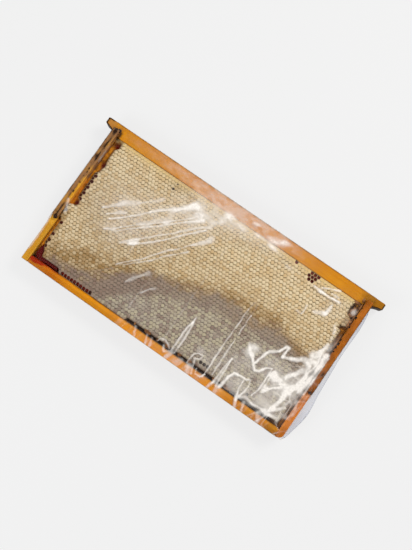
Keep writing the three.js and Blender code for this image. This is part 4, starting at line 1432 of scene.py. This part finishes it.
def film_finish(settings):
    """Clear film: a faint mirror where it lies smooth, milky in its folds with painted highlights and glints,
    and greyer where it is loose and double, with painted shade there."""
    graph = Graph("clear_film")
    haze = graph.field("haze")
    loose = graph.field("loose")
    fine = graph.noise(2.6, 3)
    # Painted highlights and glints: the milky share where the haze field is set.
    milky_and_glint = (haze * settings.haze * (0.7 + 0.6 * fine)).clamped()
    # Painted shade: the loose edge takes the darker grey.
    tint = graph.blend(loose, settings.milk, settings.loose)
    fresnel = graph.read("ShaderNodeFresnel", 0, {"IOR": 1.3})
    share = (milky_and_glint + fresnel * settings.glare + loose * 0.2).clamped()
    mirror = (1 - milky_and_glint.between(0.0, 0.25)) * (1 - loose)
    ripples = graph.relief(graph.noise(4.0, 3), 0.25, 0.5)
    sheet = graph.surface(tint, 0.12 + 0.25 * milky_and_glint, 0.4, ripples, Metallic=mirror)
    clear = graph.read("ShaderNodeBsdfTransparent", "BSDF", {})
    return graph.finish(graph.read("ShaderNodeMixShader", 0, {0: share, 1: clear, 2: sheet}))


# ---- Operators -------------------------------------------------------------


class HONEYCOMB_OT_bars(bpy.types.Operator):
    """Make the four wooden bars and their pine finishes"""

    bl_idname = "honeycomb.bars"
    bl_label = "Wooden bars"

    def execute(self, context):
        wood = context.scene.honeycomb_wood
        edge = wood.edge / MM
        pieces = [make_top_bar(edge), make_bottom_bar(edge),
                  make_side_bar(-1, "side_bar_left_wood", "side_bar_left", edge, 101),
                  make_side_bar(1, "side_bar_right_wood", "side_bar_right", edge, 202)]
        finishes = [wood_finish("top_pine", wood, wood.top, wood.top_dark, wood.crust, 0),
                    wood_finish("bottom_pine", wood, wood.foot, wood.foot_dark, wood.soaked, 0),
                    wood_finish("left_pine", wood, wood.left, wood.left_dark, wood.crust, 1),
                    wood_finish("right_pine", wood, wood.right, wood.right_dark, wood.stain, 1)]
        for piece, finish in zip(pieces, finishes):
            piece.data.materials.append(finish)
        return {"FINISHED"}


class HONEYCOMB_OT_comb(bpy.types.Operator):
    """Make the capped comb with its open cells"""

    bl_idname = "honeycomb.comb"
    bl_label = "Comb"

    def execute(self, context):
        settings = context.scene.honeycomb_comb
        make_comb(settings).data.materials.append(comb_finish(settings))
        return {"FINISHED"}


class HONEYCOMB_OT_honey(bpy.types.Operator):
    """Make the pooled honey in the lower left corner"""

    bl_idname = "honeycomb.honey"
    bl_label = "Pooled honey"

    def execute(self, context):
        make_pool().data.materials.append(honey_finish(context.scene.honeycomb_comb))
        return {"FINISHED"}


class HONEYCOMB_OT_crumbs(bpy.types.Operator):
    """Make the blobs of bee glue and the wax bridges in the gaps"""

    bl_idname = "honeycomb.crumbs"
    bl_label = "Bee glue and wax bridges"

    def execute(self, context):
        wood = context.scene.honeycomb_wood
        glue = lumps("bee_glue", glue_specs(), 301)
        glue.data.materials.append(simple_finish("bee_glue", linear(48, 28, 14), wood.soot, 3.0, 0.35))
        webs = lumps("wax_bridges", web_specs(), 303)
        wax = simple_finish("bridge_wax", linear(160, 112, 70), linear(88, 54, 28), 6.0, 0.45)
        webs.data.materials.append(wax)
        return {"FINISHED"}


class HONEYCOMB_OT_film(bpy.types.Operator):
    """Wrap the frame in clear film"""

    bl_idname = "honeycomb.film"
    bl_label = "Film"

    def execute(self, context):
        settings = context.scene.honeycomb_film
        make_film(settings).data.materials.append(film_finish(settings))
        return {"FINISHED"}


def floor_finish(settings):
    """A pale floor that glows a little, so that shadows on it stay faint."""
    shine = 0.87
    paint = (*linear(90, 90, 90), 1)
    graph = Graph("pale_floor")
    glow = {"Emission Color": (*settings.floor, 1), "Emission Strength": shine}
    return graph.finish(graph.surface(paint, 1.0, 0.0, **glow))


def soft_light(name, place, aim, size, power, tint):
    """A square softbox that faces a point."""
    data = bpy.data.lights.new(name, "AREA")
    data.shape = "RECTANGLE"
    data.size, data.size_y = size
    data.energy = power
    data.color = tint
    light = bpy.data.objects.new(name, data)
    light.visible_glossy = False
    direction = Vector(aim) - Vector(place)
    light.matrix_world = Matrix.Translation(place) @ direction.to_track_quat("-Z", "Y").to_matrix().to_4x4()
    bpy.context.scene.collection.objects.link(light)


class HONEYCOMB_OT_stage(bpy.types.Operator):
    """Set the floor, the soft lights and the camera"""

    bl_idname = "honeycomb.stage"
    bl_label = "Stage"

    def execute(self, context):
        scene = context.scene
        settings = scene.honeycomb_stage
        half = 3.0
        corners = [(-half, -half, 0), (half, -half, 0), (half, half, 0), (-half, half, 0)]
        mesh = bpy.data.meshes.new("floor")
        mesh.from_pydata(corners, [], [(0, 1, 2, 3)])
        floor = bpy.data.objects.new("floor", mesh)
        scene.collection.objects.link(floor)
        mesh.materials.append(floor_finish(settings))

        world = bpy.data.worlds.new("soft_sky")
        world.use_nodes = True
        sky = world.node_tree.nodes["Background"]
        sky.inputs["Color"].default_value = (0.96, 0.97, 1.0, 1)
        sky.inputs["Strength"].default_value = 0.5
        scene.world = world
        soft_light("key_softbox", (0.7, 1.15, 1.5), (0, 0, 0), (0.8, 0.55), 27.0, (1.0, 0.98, 0.94))
        soft_light("fill_softbox", (-0.7, -0.9, 1.1), (0, 0, 0), (0.8, 0.8), 11.0, (0.97, 0.98, 1.0))

        scene.view_settings.view_transform = "Standard"
        lens = bpy.data.cameras.new("camera")
        lens.lens = settings.lens
        camera = bpy.data.objects.new("camera", lens)
        place = Vector(settings.place)
        forward = (Vector(settings.aim) - place).normalized()
        level = Vector((0, 1, 0))
        right = forward.cross(level).normalized()
        up = right.cross(forward)
        facing = Matrix((right, up, -forward)).transposed()
        camera.matrix_world = (Matrix.Translation(place) @ facing.to_4x4()
                               @ Matrix.Rotation(settings.roll, 4, "Z"))
        scene.collection.objects.link(camera)
        scene.camera = camera
        return {"FINISHED"}


class HONEYCOMB_PT_panel(bpy.types.Panel):
    """Lists the steps that build the honeycomb frame"""

    bl_idname = "HONEYCOMB_PT_panel"
    bl_label = "Honeycomb frame"
    bl_space_type = "VIEW_3D"
    bl_region_type = "UI"
    bl_category = "Honeycomb"

    def draw(self, context):
        for step in STEPS:
            self.layout.operator(step.bl_idname)


STEPS = (HONEYCOMB_OT_stage, HONEYCOMB_OT_bars, HONEYCOMB_OT_comb, HONEYCOMB_OT_honey,
         HONEYCOMB_OT_crumbs, HONEYCOMB_OT_film)
GROUPS = {"honeycomb_wood": WoodSettings, "honeycomb_comb": CombSettings,
          "honeycomb_film": FilmSettings, "honeycomb_stage": StageSettings}


def register():
    for group in GROUPS.values():
        bpy.utils.register_class(group)
    for step in STEPS:
        bpy.utils.register_class(step)
    bpy.utils.register_class(HONEYCOMB_PT_panel)
    for name, group in GROUPS.items():
        setattr(bpy.types.Scene, name, PointerProperty(type=group))


def unregister():
    for name in GROUPS:
        delattr(bpy.types.Scene, name)
    bpy.utils.unregister_class(HONEYCOMB_PT_panel)
    for step in reversed(STEPS):
        bpy.utils.unregister_class(step)
    for group in reversed(GROUPS.values()):
        bpy.utils.unregister_class(group)


def main():
    register()
    bpy.ops.honeycomb.stage()
    bpy.ops.honeycomb.bars()
    bpy.ops.honeycomb.comb()
    bpy.ops.honeycomb.honey()
    bpy.ops.honeycomb.crumbs()
    bpy.ops.honeycomb.film()


if __name__ == "__main__":
    main()
